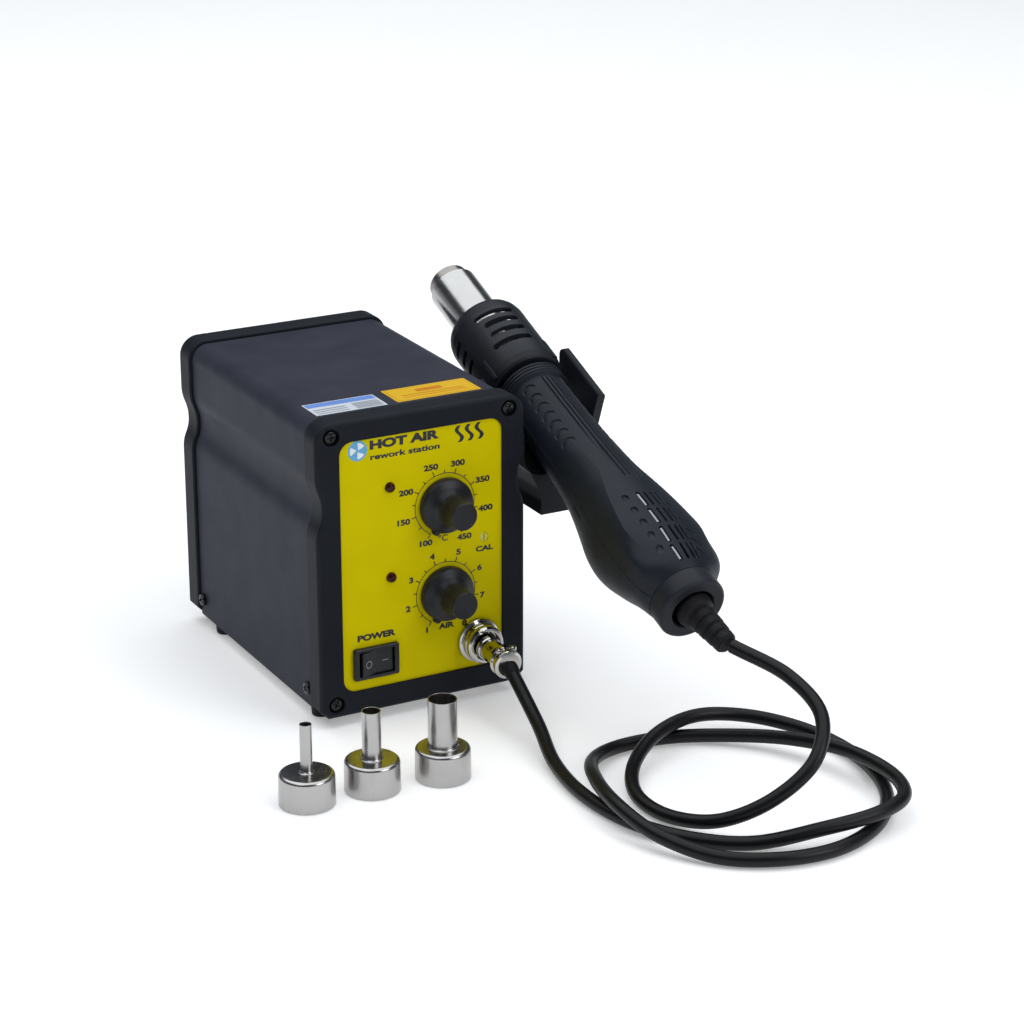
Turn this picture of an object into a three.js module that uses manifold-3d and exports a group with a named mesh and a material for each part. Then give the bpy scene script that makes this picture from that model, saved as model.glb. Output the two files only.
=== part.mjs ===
// Hot air station: a control unit, its blower handpiece resting in a side cradle, the lead
// between them and three loose nozzles.
// Millimetres. +X right, +Y towards the back, +Z up, Z = 0 at the surface it stands on.
import * as THREE from 'three';
import { mergeVertices } from 'three/addons/utils/BufferGeometryUtils.js';
import Module from 'manifold-3d';

const wasm = await Module();
wasm.setup();

// ---------------------------------------------------------------- driving dimensions

const GAP = 0.3;
const MERGE = 1e-4;

// control unit: two moulded bezels with a folded cover between them
const CASE = { width: 100, bottom: 4.5, top: 139.1, depth: 149, corner: 9 };
const BEZEL = { depth: 12, edge: 1.2, lip: 0.6, frontCut: 2.5, rearCut: 6 };
const WAIST = { low: 86, middle: 100, high: 116, depth: 3 };
const COVER = { inset: 1.6, wall: 1.2 };
const CHASSIS = { inset: 3.2, wall: 1.2, tab: 5.4 };
const WINDOW = { half: 38.75, low: 15.5, high: 129.7, corner: 6 };
const PANEL = { margin: 2, slack: 0.35, thick: 1.5 };
const PANEL_FACE = BEZEL.lip + GAP;
const PANEL_BACK = PANEL_FACE + PANEL.thick;
const FOOT = { x: 41.8, y: [17.6, 124], r: 4.9, height: 7.4 };

// fasteners
const CORNER_SCREW = { x: 42.3, low: 10.7, high: 132.9, recess: 3.75, sunk: 2.6, length: 15 };
const SIDE_SCREW = { y: 15.8, z: 14.4 };
const SCREW = { head: 2.85, headHeight: 1.7, shank: 1.35, hole: 1.75 };

// front controls, as [x, z] on the panel
const TEMPERATURE_AT = [11.1, 94];
const AIR_AT = [11.2, 53.1];
const HEATER_LED_AT = [-15.3, 106.4];
const FAN_LED_AT = [-15.2, 65.2];
const CAL_AT = [30.2, 75.5];
const SWITCH_AT = [-23.3, 27.7];
const SOCKET_AT = [26.8, 28];
const DIAL_REST = -155;
const KNOB = { skirt: 12.4, grip: 6.2, face: -18, bore: 3.3 };
const SHAFT_R = 3;
const POT = { r: 8.4, bushing: 3.6, back: 12.4 };
const LED = { r: 2.35, flange: 2.9 };
const SWITCH = { width: 21.6, height: 14.7, bodyWidth: 19, bodyHeight: 12.9, back: 20, face: -1.2 };
const ROCKER = { half: 8, tall: 10.8, rise: 1.16, pivot: 2, tilt: 9 };
const SOCKET = { thread: 7.1, nut: 10, ring: 8.7, hole: 7.5 };
const PLUG = { barrel: 5.5, clamp: 6.6, droop: 3.3, end: -28.4 };

// back panel fittings
const INLET = { x: 18, z: 40, width: 30, high: 54, low: 18, cavity: [24.5, 16.5], depth: 17 };
const DRAWER = { z: 24.8, width: 15.4, height: 6.4, depth: 18 };

// handpiece: its own axes are X across, Y up through the top and Z from the tip to the tail
const GUN_TIP = [76, 123.44, 155];
const GUN_TILT = 21.376;
const GUN_ROLL = 8.5;
const BARREL = { r: 11.5, bore: 10.8, tip: 9.6, tipBore: 8.8, start: 1, step: 6.5, end: 100 };
const GUARD = { front: 39, rear: 84, r: 18.6, spigot: 13.9, bore: 12 };
const HANDLE_WALL = 2;
const FAN = { s: 201, r: 14, low: 3, high: 11.5 };
const TAIL = { start: 229.3, end: 238.6, r: 15.4, hole: 9.4 };
const RELIEF = { start: 234.7, base: 6.5, tip: 4.75, length: 27.4, lean: 7.1 };

// Handle sections from front to tail: distance from the tip, height of the top, depth of the belly,
// half width, level of the widest line, and half width and height of the shoulder crease.
const HANDLE = [
  [87, 16.5, 16.5, 16.5, 0, 11.7, 11.7],
  [92.4, 16.4, 16.4, 16.4, 0, 11.6, 11.6],
  [93.6, 14.8, 14.8, 14.8, 0, 10.5, 10.5],
  [110, 15.1, 15.1, 15.1, 0, 10.7, 10.7],
  [126, 15.5, 15.7, 15.5, 0, 11, 11],
  [142, 16, 16.8, 15.8, 0, 10.6, 12.5],
  [154, 16.5, 18.6, 16.2, 0, 10.2, 14],
  [162, 16.9, 21.3, 17, 1, 10.5, 14.9],
  [170, 17.3, 25, 17.8, 2, 12.8, 14.9],
  [178, 17.7, 28.2, 19, 3, 15, 14.8],
  [186, 18.1, 29, 20, 4, 16.8, 14.7],
  [194, 18.4, 27.6, 20.8, 5, 18.3, 14.5],
  [202, 18.5, 24.8, 21.4, 6, 19.2, 14.4],
  [210, 18.2, 21.6, 21.8, 7, 17.9, 14.3],
  [218, 17.7, 18.2, 21.4, 8, 14.9, 14.4],
  [224, 16.9, 16.4, 19.6, 6, 11.8, 14.4],
  [229, 15.6, 15.4, 15.6, 0, 9, 12.7],
];

// cradle on the right-hand side of the case
const CRADLE = { inner: 48.7, outer: 99.4, front: 12.4, rear: 51, bottom: 75.8, rim: 13, innerRim: 3 };
const TROUGH = { half: 19.5, bottom: -15.6, corner: 12, guardHalf: 19.4, guardEnd: 93.2, mouth: 111 };
const CRADLE_SCREW = { y: [24, 44], z: [112, 119], head: 2.9 };

// nozzles standing on their collars: [x, y, outlet radius]
const NOZZLE = { collar: 11.9, bore: 11.4, shoulder: 13.8, height: 35.3, wall: 0.45 };
const NOZZLES = [
  ['nozzle_small', -84.6, -60.5, 2.55],
  ['nozzle_medium', -55.3, -61.3, 4.05],
  ['nozzle_large', -24, -64.4, 6.2],
];

// lead: a 6 mm cord from the plug, in two loose loops on the surface, up to the handpiece
const LEAD = { r: 3, sides: 8, steps: 80 };
const LEAD_ROUTE = [
  [27.5, -30, 23.5], [25.5, -57, 10], [19, -83, 4.2], [15.5, -113.5, 3.2], [19.5, -143.5, 3.2],
  [31.5, -166.5, 3.1], [52, -184.5, 3.6], [78, -194.5, 8], [104, -197, 10.2], [121, -190, 10.4],
  [129, -173, 10.4], [127, -143.5, 10.2], [115.5, -114.5, 7], [98, -95, 4.4], [74, -82.5, 3.6],
  [50, -81, 3.6], [32.5, -92, 6], [21, -114, 9.4], [15.5, -141.5, 10.2], [20, -166.5, 6.5],
  [34, -188, 3.4], [54.5, -201, 3.3], [79, -204, 3.1], [103, -195.5, 3.1], [122.5, -177, 3.1],
  [133, -153.5, 3.3], [135.5, -125, 3.3], [127.5, -102, 5], [111, -87, 7.8], [89.5, -82, 10.4],
  [65, -89.5, 10], [44.5, -105, 6], [34, -125.5, 3.7], [35.5, -148, 3.6], [46.5, -168, 7.5],
  [63.5, -180.5, 18], [82, -182.5, 32], [92.5, -171, 44.5], [91.6, -149, 53.4], [80.8, -122, 59.3],
];

// ---------------------------------------------------------------- colours

const BLACK_PLASTIC = [0x1b1d22, 0.55, 0];
const HANDLE_BLACK = [0x15161a, 0.6, 0];
const COVER_GREY = [0x34373f, 0.5, 0.3];
const SHEET_STEEL = [0x9a9c9e, 0.45, 0.9];
const BRIGHT_STEEL = [0xc4c4c2, 0.25, 1];
const CHROME = [0xd2d2d0, 0.12, 1];
const PANEL_YELLOW = [0xc4b800, 0.4, 0];
const DARK_RED = [0x3a0508, 0.2, 0];
const RUBBER = [0x131313, 0.8, 0];
const BOARD_GREEN = [0x1d5a35, 0.6, 0];
const IRON = [0x4a4744, 0.6, 0.8];
const COPPER_TAPE = [0xb06a35, 0.5, 0.4];
const CERAMIC = [0xd9d3c4, 0.7, 0];
const MICA = [0xb7a887, 0.5, 0];
const BRASS = [0xb99a4b, 0.3, 1];
const LEAD_BLACK = [0x101012, 0.3, 0];

// ---------------------------------------------------------------- geometry helpers

// Merges shared corners, drops collapsed triangles and turns an inside-out surface outwards.
function closed(source) {
  const bare = source.index ? source.toNonIndexed() : source.clone();
  bare.deleteAttribute('normal');
  bare.deleteAttribute('uv');
  const merged = mergeVertices(bare, MERGE);
  const corner = merged.attributes.position;
  const index = merged.index.array;
  const kept = [];
  const a = new THREE.Vector3();
  const b = new THREE.Vector3();
  const c = new THREE.Vector3();
  let volume = 0;
  for (let i = 0; i < index.length; i += 3) {
    const [p, q, r] = [index[i], index[i + 1], index[i + 2]];
    if (p === q || q === r || r === p) continue;
    kept.push(p, q, r);
    a.fromBufferAttribute(corner, p);
    b.fromBufferAttribute(corner, q);
    c.fromBufferAttribute(corner, r);
    volume += a.dot(b.cross(c));
  }
  if (volume < 0) kept.reverse();
  const out = new THREE.BufferGeometry();
  out.setAttribute('position', corner);
  out.setIndex(kept);
  return out;
}

function toManifold(geometry) {
  const body = closed(geometry);
  return new wasm.Manifold(new wasm.Mesh({
    numProp: 3,
    vertProperties: Float32Array.from(body.attributes.position.array),
    triVerts: Uint32Array.from(body.index.array),
  }));
}

function fromManifold(body) {
  const mesh = body.getMesh();
  const out = new THREE.BufferGeometry();
  out.setAttribute('position', new THREE.BufferAttribute(Float32Array.from(mesh.vertProperties), 3));
  out.setIndex(new THREE.BufferAttribute(Uint32Array.from(mesh.triVerts), 1));
  return out;
}

function cut(body, tools) {
  return fromManifold(tools.reduce((rest, tool) => rest.subtract(toManifold(tool)), toManifold(body)));
}

function join(bodies) {
  const [first, ...others] = bodies.map(toManifold);
  return fromManifold(others.reduce((sum, body) => sum.add(body), first));
}

function box([x0, x1], [y0, y1], [z0, z1]) {
  const shape = new THREE.BoxGeometry(x1 - x0, y1 - y0, z1 - z0);
  return shape.translate((x0 + x1) / 2, (y0 + y1) / 2, (z0 + z1) / 2);
}

// A body of revolution from [radius, height] points; turnedY stands on the Y axis and turnedZ on Z.
function turnedY(profile, sides) {
  return closed(new THREE.LatheGeometry(profile.map(([r, y]) => new THREE.Vector2(r, y)), sides));
}

function turnedZ(profile, sides) {
  return turnedY(profile, sides).rotateX(Math.PI / 2);
}

function drill(r, [x, z], [from, to], sides) {
  return turnedY([[0, from], [r, from], [r, to], [0, to]], sides).translate(x, 0, z);
}

// A shape drawn in X and Z, given depth along Y.
function prism(shape, [from, to], options = {}) {
  const settings = { depth: to - from, bevelEnabled: false, curveSegments: 3, ...options };
  return new THREE.ExtrudeGeometry(shape, settings).rotateX(Math.PI / 2).translate(0, to, 0);
}

function roundedRectangle([x0, x1], [z0, z1], r) {
  const shape = new THREE.Shape();
  shape.absarc(x1 - r, z0 + r, r, -Math.PI / 2, 0);
  shape.absarc(x1 - r, z1 - r, r, 0, Math.PI / 2);
  shape.absarc(x0 + r, z1 - r, r, Math.PI / 2, Math.PI);
  shape.absarc(x0 + r, z0 + r, r, Math.PI, Math.PI * 1.5);
  return shape;
}

// The case's end view, drawn inwards by an inset: rounded top corners, a shallow waist on each
// side and bottom corners cut off at 45 degrees.
function caseOutline(inset, cornerCut) {
  const half = CASE.width / 2 - inset;
  const waist = half - WAIST.depth;
  const top = CASE.top - inset;
  const bottom = CASE.bottom + inset;
  const r = CASE.corner - inset;
  const lowPull = (WAIST.middle - WAIST.low) / 2;
  const highPull = (WAIST.high - WAIST.middle) / 2;
  const shape = new THREE.Shape();
  shape.moveTo(cornerCut - half, bottom);
  shape.lineTo(half - cornerCut, bottom);
  shape.lineTo(half, bottom + cornerCut);
  shape.lineTo(half, WAIST.low);
  shape.bezierCurveTo(half, WAIST.low + lowPull, waist, WAIST.middle - lowPull, waist, WAIST.middle);
  shape.bezierCurveTo(waist, WAIST.middle + highPull, half, WAIST.high - highPull, half, WAIST.high);
  shape.absarc(half - r, top - r, r, 0, Math.PI / 2);
  shape.absarc(r - half, top - r, r, Math.PI / 2, Math.PI);
  shape.lineTo(-half, WAIST.high);
  shape.bezierCurveTo(-half, WAIST.high - highPull, -waist, WAIST.middle + highPull, -waist, WAIST.middle);
  shape.bezierCurveTo(-waist, WAIST.middle - lowPull, -half, WAIST.low + lowPull, -half, WAIST.low);
  shape.lineTo(-half, bottom + cornerCut);
  return shape;
}

function cornerPoints() {
  const { x, low, high } = CORNER_SCREW;
  return [[-x, low], [x, low], [-x, high], [x, high]];
}

// ---------------------------------------------------------------- case

// Moulded frame: a front lip round the panel's window, a pocket for the panel and four screw seats.
function bezel(cornerCut) {
  const edge = BEZEL.edge;
  const rounding = {
    depth: BEZEL.depth - 2 * edge,
    bevelEnabled: true,
    bevelThickness: edge,
    bevelSize: edge,
    bevelOffset: -edge,
    bevelSegments: 1,
    curveSegments: 3,
  };
  const body = prism(caseOutline(0, cornerCut), [edge, BEZEL.depth - edge], rounding);
  const { half, low, high, corner } = WINDOW;
  const m = PANEL.margin;
  const window = roundedRectangle([-half, half], [low, high], corner);
  const pocket = roundedRectangle([-half - m, half + m], [low - m, high + m], corner + m);
  const seats = cornerPoints().flatMap((at) => [
    drill(CORNER_SCREW.recess, at, [-1, CORNER_SCREW.sunk], 8),
    drill(SCREW.hole, at, [0, BEZEL.depth + 1], 6),
  ]);
  return cut(body, [
    prism(window, [-1, BEZEL.depth + 1]),
    prism(pocket, [BEZEL.lip, BEZEL.depth + 1]),
    ...seats,
  ]);
}

function panelBlank() {
  const { half, low, high, corner } = WINDOW;
  const m = PANEL.margin - PANEL.slack;
  const outline = roundedRectangle([-half - m, half + m], [low - m, high + m], corner + m);
  return prism(outline, [PANEL_FACE, PANEL_BACK]);
}

function frontPanel() {
  const through = [-1, BEZEL.depth];
  const [sx, sz] = SWITCH_AT;
  const halfWidth = SWITCH.bodyWidth / 2 + GAP;
  const halfHeight = SWITCH.bodyHeight / 2 + GAP;
  return cut(panelBlank(), [
    drill(POT.bushing + GAP, TEMPERATURE_AT, through, 10),
    drill(POT.bushing + GAP, AIR_AT, through, 10),
    drill(LED.r + GAP, HEATER_LED_AT, through, 8),
    drill(LED.r + GAP, FAN_LED_AT, through, 8),
    drill(2.1, CAL_AT, through, 8),
    drill(SOCKET.hole, SOCKET_AT, through, 12),
    box([sx - halfWidth, sx + halfWidth], through, [sz - halfHeight, sz + halfHeight]),
  ]);
}

// The back panel is the same blank turned to face backwards, with vent slots and the inlet's cut-out.
function rearPanel() {
  const through = [CASE.depth - BEZEL.depth, CASE.depth + 1];
  const slots = [];
  for (let i = 0; i < 6; i += 1) {
    const x = -33 + i * 5.6;
    slots.push(box([x, x + 2.4], through, [24, 56]));
  }
  const half = INLET.width / 2 - 2;
  const opening = box([INLET.x - half, INLET.x + half], through, [INLET.low + 2, INLET.high - 2]);
  return cut(facingBack(panelBlank()), [...slots, opening]);
}

// Turns a piece of the front half turn about the case's upright middle line, to serve at the back.
function facingBack(geometry) {
  return geometry.rotateZ(Math.PI).translate(0, CASE.depth, 0);
}

// Folded sheet over the top and both sides, open below, with holes for the side and cradle screws.
function topCover() {
  const ends = [BEZEL.depth + GAP, CASE.depth - BEZEL.depth - GAP];
  const outer = prism(caseOutline(COVER.inset, 0), ends);
  const hollow = prism(caseOutline(COVER.inset + COVER.wall, 0), [0, CASE.depth]);
  const halfInside = CASE.width / 2 - COVER.inset - COVER.wall;
  const below = box([-halfInside, halfInside], [0, CASE.depth], [0, CASE.bottom + 5]);
  const holes = sidePoints().map(([y, z]) => {
    return sideways([[0, -60], [SCREW.hole, -60], [SCREW.hole, 60], [0, 60]], 8).translate(0, y, z);
  });
  const cradleHoles = cradleScrewPoints().map(([y, z]) => {
    return sideways([[0, 30], [SCREW.hole, 30], [SCREW.hole, 60], [0, 60]], 8).translate(0, y, z);
  });
  return cut(outer, [hollow, below, ...holes, ...cradleHoles]);
}

// A body of revolution on the X axis from [radius, x] points.
function sideways(profile, sides) {
  return turnedY(profile, sides).rotateZ(-Math.PI / 2);
}

function sidePoints() {
  return [[SIDE_SCREW.y, SIDE_SCREW.z], [CASE.depth - SIDE_SCREW.y, SIDE_SCREW.z]];
}

function cradleScrewPoints() {
  return CRADLE_SCREW.y.map((y, i) => [y, CRADLE_SCREW.z[i]]);
}

// Steel tray: floor, two upright end frames that the bezels are screwed to, and four side tabs.
function chassisPlate() {
  const { inset, wall, tab } = CHASSIS;
  const front = BEZEL.depth + 0.6;
  const back = CASE.depth - front;
  const half = CASE.width / 2 - inset;
  const floor = CASE.bottom + inset;
  const frames = [[front, front + wall], [back - wall, back]].map((span) => prism(endFrame(), span));
  const tabs = sidePoints().flatMap(([y]) => [-1, 1].map((side) => {
    const across = side > 0 ? [half - wall, half] : [-half, wall - half];
    return box(across, [y - tab / 2, y + tab / 2], [floor, floor + 12]);
  }));
  const tray = join([box([-half, half], [front, back], [floor, floor + wall]), ...frames, ...tabs]);
  const holes = cornerPoints().map((at) => drill(SCREW.hole, at, [0, CASE.depth], 6));
  const sideHoles = sidePoints().map(([y, z]) => {
    return sideways([[0, -60], [SCREW.hole, -60], [SCREW.hole, 60], [0, 60]], 8).translate(0, y, z);
  });
  return cut(tray, [box([-36, 36], [0, CASE.depth], [18, 126]), ...holes, ...sideHoles]);
}

// Outline of the tray's upright ends, stepped in at the case's waist.
function endFrame() {
  const half = CASE.width / 2 - CHASSIS.inset - 0.4;
  const waist = half - WAIST.depth;
  const low = CASE.bottom + CHASSIS.inset;
  const high = CASE.top - CHASSIS.inset - 1;
  const right = [
    [half, low], [half, WAIST.low - 2], [waist, WAIST.middle - 6], [waist, WAIST.middle + 6],
    [half, WAIST.high + 2], [half, high - 5], [half - 4, high],
  ];
  const left = right.toReversed().map(([x, z]) => [-x, z]);
  return new THREE.Shape([...right, ...left].map(([x, z]) => new THREE.Vector2(x, z)));
}

// Pan-head screw on the Y axis with its head's face at y = 0.
function screw(length) {
  const { head, headHeight, shank } = SCREW;
  const profile = [
    [0, 0], [head - 0.8, 0], [head, 0.8], [head, headHeight], [shank, headHeight], [shank, length], [0, length],
  ];
  return turnedY(profile, 8);
}

function foot() {
  const { r, height } = FOOT;
  return turnedZ([[0, 0], [r - 0.7, 0], [r, 0.8], [r, height], [0, height]], 12);
}

// ---------------------------------------------------------------- front controls

// Turned knob with a wide skirt, a hollow flank and a small raised pointer on the skirt's rim.
function knob() {
  const { skirt, grip, face, bore } = KNOB;
  const back = PANEL_FACE - 0.6;
  const profile = [
    [0, face], [grip - 0.5, face], [grip, face + 0.5], [grip, -8.6], [grip + 0.9, -6.2],
    [grip + 3, -4.1], [skirt - 1.2, -3], [skirt - 0.3, -2.6], [skirt, -1.9], [skirt, back],
    [bore, back], [bore, -12], [0, -12],
  ];
  const pointer = turnedY([[0, -2.7], [1.2, -2.4], [1.2, back], [0, back]], 8);
  const body = join([turnedY(profile, 16), pointer.translate(0, 0, skirt - 0.2)]);
  return body.rotateY(THREE.MathUtils.degToRad(DIAL_REST));
}

function shaft() {
  return turnedY([[0, -11.6], [SHAFT_R, -11.6], [SHAFT_R, 9], [0, 9]], 12);
}

// Rotary potentiometer: threaded bushing through the panel and a round can behind it.
function potentiometer() {
  const { r, bushing, back } = POT;
  const bore = SHAFT_R + GAP;
  const can = PANEL_BACK + GAP;
  const profile = [
    [bore, PANEL_FACE - 0.3], [bushing, PANEL_FACE - 0.3], [bushing, can], [r, can], [r, back],
    [0, back], [0, 9.4], [bore, 9.4], [bore, PANEL_FACE - 0.3],
  ];
  return turnedY(profile, 16);
}

// Round lens with a rear flange and a spacer that reaches back to the board.
function led() {
  const { r, flange } = LED;
  const back = PANEL_BACK + GAP;
  const profile = [
    [0, -1.3], [r * 0.55, -0.9], [r * 0.9, 0], [r, PANEL_FACE], [r, back], [flange, back],
    [flange, back + 1], [r, back + 1], [r, 13.9], [0, 13.9],
  ];
  return turnedY(profile, 8);
}

// Slotted adjuster behind the CAL hole.
function calTrimmer() {
  const body = turnedY([[0, 1.2], [1.7, 1.2], [1.7, 4], [3, 4], [3, 9], [0, 9]], 8);
  return cut(body, [box([-0.4, 0.4], [0, 1.9], [-3, 3])]);
}

function switchHousing() {
  const { width, height, bodyWidth, bodyHeight, back, face } = SWITCH;
  const flange = box([-width / 2, width / 2], [face, PANEL_FACE - GAP], [-height / 2, height / 2]);
  const body = box([-bodyWidth / 2, bodyWidth / 2], [0, back], [-bodyHeight / 2, bodyHeight / 2]);
  const cavity = box([-8.5, 8.5], [-3, 12], [-5.75, 5.75]);
  return cut(join([flange, body]), [cavity]);
}

// Rocker with two sloped halves, drawn level and then tipped so that its right half is pressed in.
// Its own origin is the pivot.
function rocker() {
  const { half, tall, rise, pivot, tilt } = ROCKER;
  const outline = new THREE.Shape([
    [-half, -rise], [0, 0], [half, -rise], [7, 1], [4, 4.6], [-4, 4.6], [-7, 1],
  ].map(([x, y]) => new THREE.Vector2(x, y - pivot)));
  const body = new THREE.ExtrudeGeometry(outline, { depth: tall, bevelEnabled: false });
  return body.translate(0, 0, -tall / 2).rotateZ(THREE.MathUtils.degToRad(tilt));
}

// ---------------------------------------------------------------- handpiece connector

// Chassis socket: threaded shell through the panel, rear flange and a sunk contact face.
function socketBody() {
  const r = SOCKET.thread;
  const back = PANEL_BACK + GAP;
  const profile = [
    [0, -3], [r - 1.3, -3], [r - 1.3, -6], [r, -6], [r, back], [10, back], [10, back + 2],
    [r - 0.6, back + 2], [r - 0.6, 14], [0, 14],
  ];
  return turnedY(profile, 12);
}

function socketNut() {
  const bore = SOCKET.thread + GAP;
  const r = SOCKET.nut;
  const back = PANEL_FACE - GAP;
  return turnedY([[bore, back], [bore, -1.6], [r - 1.2, -1.6], [r, -0.9], [r, back], [bore, back]], 16);
}

// Coupling ring that screws over the socket and traps the plug's collar.
function plugRing() {
  const bore = SOCKET.thread + GAP;
  const r = SOCKET.ring;
  const profile = [
    [bore, -1.9], [r - 0.5, -1.9], [r, -2.5], [r, -7.6], [r - 0.9, -8.4], [6.6, -8.4],
    [6.6, -7.4], [bore, -7.4], [bore, -1.9],
  ];
  return turnedY(profile, 16);
}

function plugShell() {
  const { barrel } = PLUG;
  const profile = [
    [0, -6.4], [5.8, -6.4], [5.8, -8.7], [barrel, -9], [barrel, -20.2], [0, -20.2],
  ];
  return turnedY(profile, 12);
}

// Rear clamp: a collar and two saddle screws.
function plugClamp() {
  const { clamp, end } = PLUG;
  const profile = [
    [0, -20.5], [clamp - 0.8, -20.5], [clamp, -21.2], [clamp, -23.6], [clamp - 0.9, -24.2],
    [clamp - 0.9, -26], [clamp, -26.6], [clamp, end + 0.6], [clamp - 1.2, end], [0, end],
  ];
  const screws = [-1, 1].map((side) => {
    const head = turnedZ([[0, 5], [1.5, 5], [1.5, 7.2], [0, 7.2]], 6);
    return head.translate(side * 3.4, -25.2, 0);
  });
  return join([turnedY(profile, 12), ...screws]);
}

// ---------------------------------------------------------------- inside the case

// Upright board behind the controls with its tall components on the back.
function mainBoard() {
  const board = box([-34, 33], [14.2, 15.8], [40, 122]);
  const parts = [
    box([-30, -6], [15, 30], [46, 60]),
    box([-30, -12], [15, 26], [96, 116]),
    box([6, 30], [15, 40], [100, 104]),
    drill(6, [18, 72], [15, 36], 12),
    drill(5, [2, 70], [15, 32], 12),
  ];
  return join([board, ...parts]);
}

function transformerCore() {
  const core = box([-38, 20], [66, 98], [CASE.bottom + 4.8, 58]);
  const windows = [[-30, -18], [0, 12]].map((span) => box(span, [60, 104], [17, 50]));
  return cut(core, windows);
}

function transformerCoil() {
  const coil = box([-29.6, 11.6], [58, 106], [17.4, 49.6]);
  return cut(coil, [box([-18.4, 0.4], [65.6, 98.4], [0, 60])]);
}

// ---------------------------------------------------------------- back fittings

function mainsInlet() {
  const { x, z, width, high, low, cavity, depth } = INLET;
  const face = CASE.depth + 1.5;
  const outside = CASE.depth - PANEL_FACE + GAP;
  const half = width / 2;
  const flange = box([x - half, x + half], [outside, face], [low, high]);
  const body = box([x - half + 2.4, x + half - 2.4], [face - 24, face - 1], [low + 2.4, high - 2.4]);
  const hollow = box(
    [x - cavity[0] / 2, x + cavity[0] / 2],
    [face - depth, face + 1],
    [z - cavity[1] / 2, z + cavity[1] / 2],
  );
  const pocket = drawerBox(GAP, face + 1);
  const pins = [[-7, 1.5], [0, -3], [7, 1.5]].map(([dx, dz]) => {
    return box([x + dx - 1, x + dx + 1], [face - depth - 1, face - 6], [z + dz - 2, z + dz + 2]);
  });
  return join([cut(join([flange, body]), [hollow, pocket]), ...pins]);
}

function drawerBox(grow, face) {
  const { z, width, height, depth } = DRAWER;
  const x = INLET.x;
  return box(
    [x - width / 2 - grow, x + width / 2 + grow],
    [CASE.depth + 1.5 - depth - grow, face],
    [z - height / 2 - grow, z + height / 2 + grow],
  );
}

function fuseDrawer() {
  const face = CASE.depth + 2;
  const notch = box([INLET.x - 3, INLET.x + 3], [face - 0.8, face + 1], [DRAWER.z + 1.6, DRAWER.z + 4]);
  return cut(drawerBox(0, face), [notch]);
}

// ---------------------------------------------------------------- handpiece

// Distance from the handpiece's axis to the handle's surface at an angle, 90 degrees being the top.
// Below the shoulder crease the section is two half ellipses that meet at the widest line, and
// above it a flat dome.
function handleRadius([, top, belly, half, widest, creaseX, creaseY], angle) {
  const cos = Math.cos(angle);
  const sin = Math.sin(angle);
  const creaseAngle = Math.atan2(creaseY, creaseX);
  if (Math.sin(angle) > 0 && Math.abs(cos) <= Math.cos(creaseAngle)) {
    const sag = top - creaseY;
    const dome = (creaseX ** 2 + sag ** 2) / (2 * sag);
    const centre = top - dome;
    return centre * sin + Math.sqrt(dome ** 2 - (centre * cos) ** 2);
  }
  const side = (creaseY - widest) / Math.sqrt(1 - (creaseX / half) ** 2);
  const low = ellipseRadius(half, widest + belly, widest, cos, sin);
  return low * sin <= widest ? low : ellipseRadius(half, side, widest, cos, sin);
}

function ellipseRadius(across, up, centre, cos, sin) {
  const a = (cos / across) ** 2 + (sin / up) ** 2;
  const b = (-2 * centre * sin) / up ** 2;
  const c = (centre / up) ** 2 - 1;
  return (-b + Math.sqrt(b ** 2 - 4 * a * c)) / (2 * a);
}

// Angles across the top half, with one exactly on each shoulder crease.
function topAngles(station) {
  const seam = 0.011;
  const crease = Math.atan2(station[6], station[5]);
  const right = [seam, crease * 0.35, crease * 0.7, crease, (crease + Math.PI / 2) / 2];
  return [...right, Math.PI / 2, ...right.toReversed().map((angle) => Math.PI - angle)];
}

function bottomAngles() {
  const seam = 0.011;
  const span = Math.PI - 2 * seam;
  return Array.from({ length: 9 }, (_, i) => Math.PI + seam + (span * i) / 8);
}

// One half of the handle: a shell of even wall lofted through the sections.
function handleHalf(anglesOf) {
  const rings = HANDLE.map((station) => anglesOf(station).map((angle) => {
    const r = handleRadius(station, angle);
    const at = (radius) => [radius * Math.cos(angle), radius * Math.sin(angle), station[0]];
    return [at(r), at(r - HANDLE_WALL)];
  }));
  const corners = [];
  const quad = (a, b, c, d) => corners.push(...a, ...b, ...c, ...a, ...c, ...d);
  const last = rings[0].length - 1;
  for (let j = 0; j < rings.length - 1; j += 1) {
    const [here, next] = [rings[j], rings[j + 1]];
    for (let i = 0; i < last; i += 1) {
      quad(here[i][0], here[i + 1][0], next[i + 1][0], next[i][0]);
      quad(here[i + 1][1], here[i][1], next[i][1], next[i + 1][1]);
    }
    quad(here[0][1], here[0][0], next[0][0], next[0][1]);
    quad(here[last][0], here[last][1], next[last][1], next[last][0]);
  }
  for (let i = 0; i < last; i += 1) {
    const [front, rear] = [rings[0], rings[rings.length - 1]];
    quad(front[i + 1][0], front[i][0], front[i][1], front[i + 1][1]);
    quad(rear[i][0], rear[i + 1][0], rear[i + 1][1], rear[i][1]);
  }
  const shell = new THREE.BufferGeometry();
  shell.setAttribute('position', new THREE.Float32BufferAttribute(corners, 3));
  return closed(shell);
}

function tailRing() {
  const { start, end, r, hole } = TAIL;
  const profile = [
    [r - 2, start], [r, start], [r, end - 1.6], [r - 0.5, end - 0.6], [r - 1.6, end], [hole + 0.8, end],
    [hole, end - 0.8], [hole, end - 3.4], [r - 2, end - 3.4], [r - 2, start],
  ];
  return turnedZ(profile, 18);
}

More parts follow.
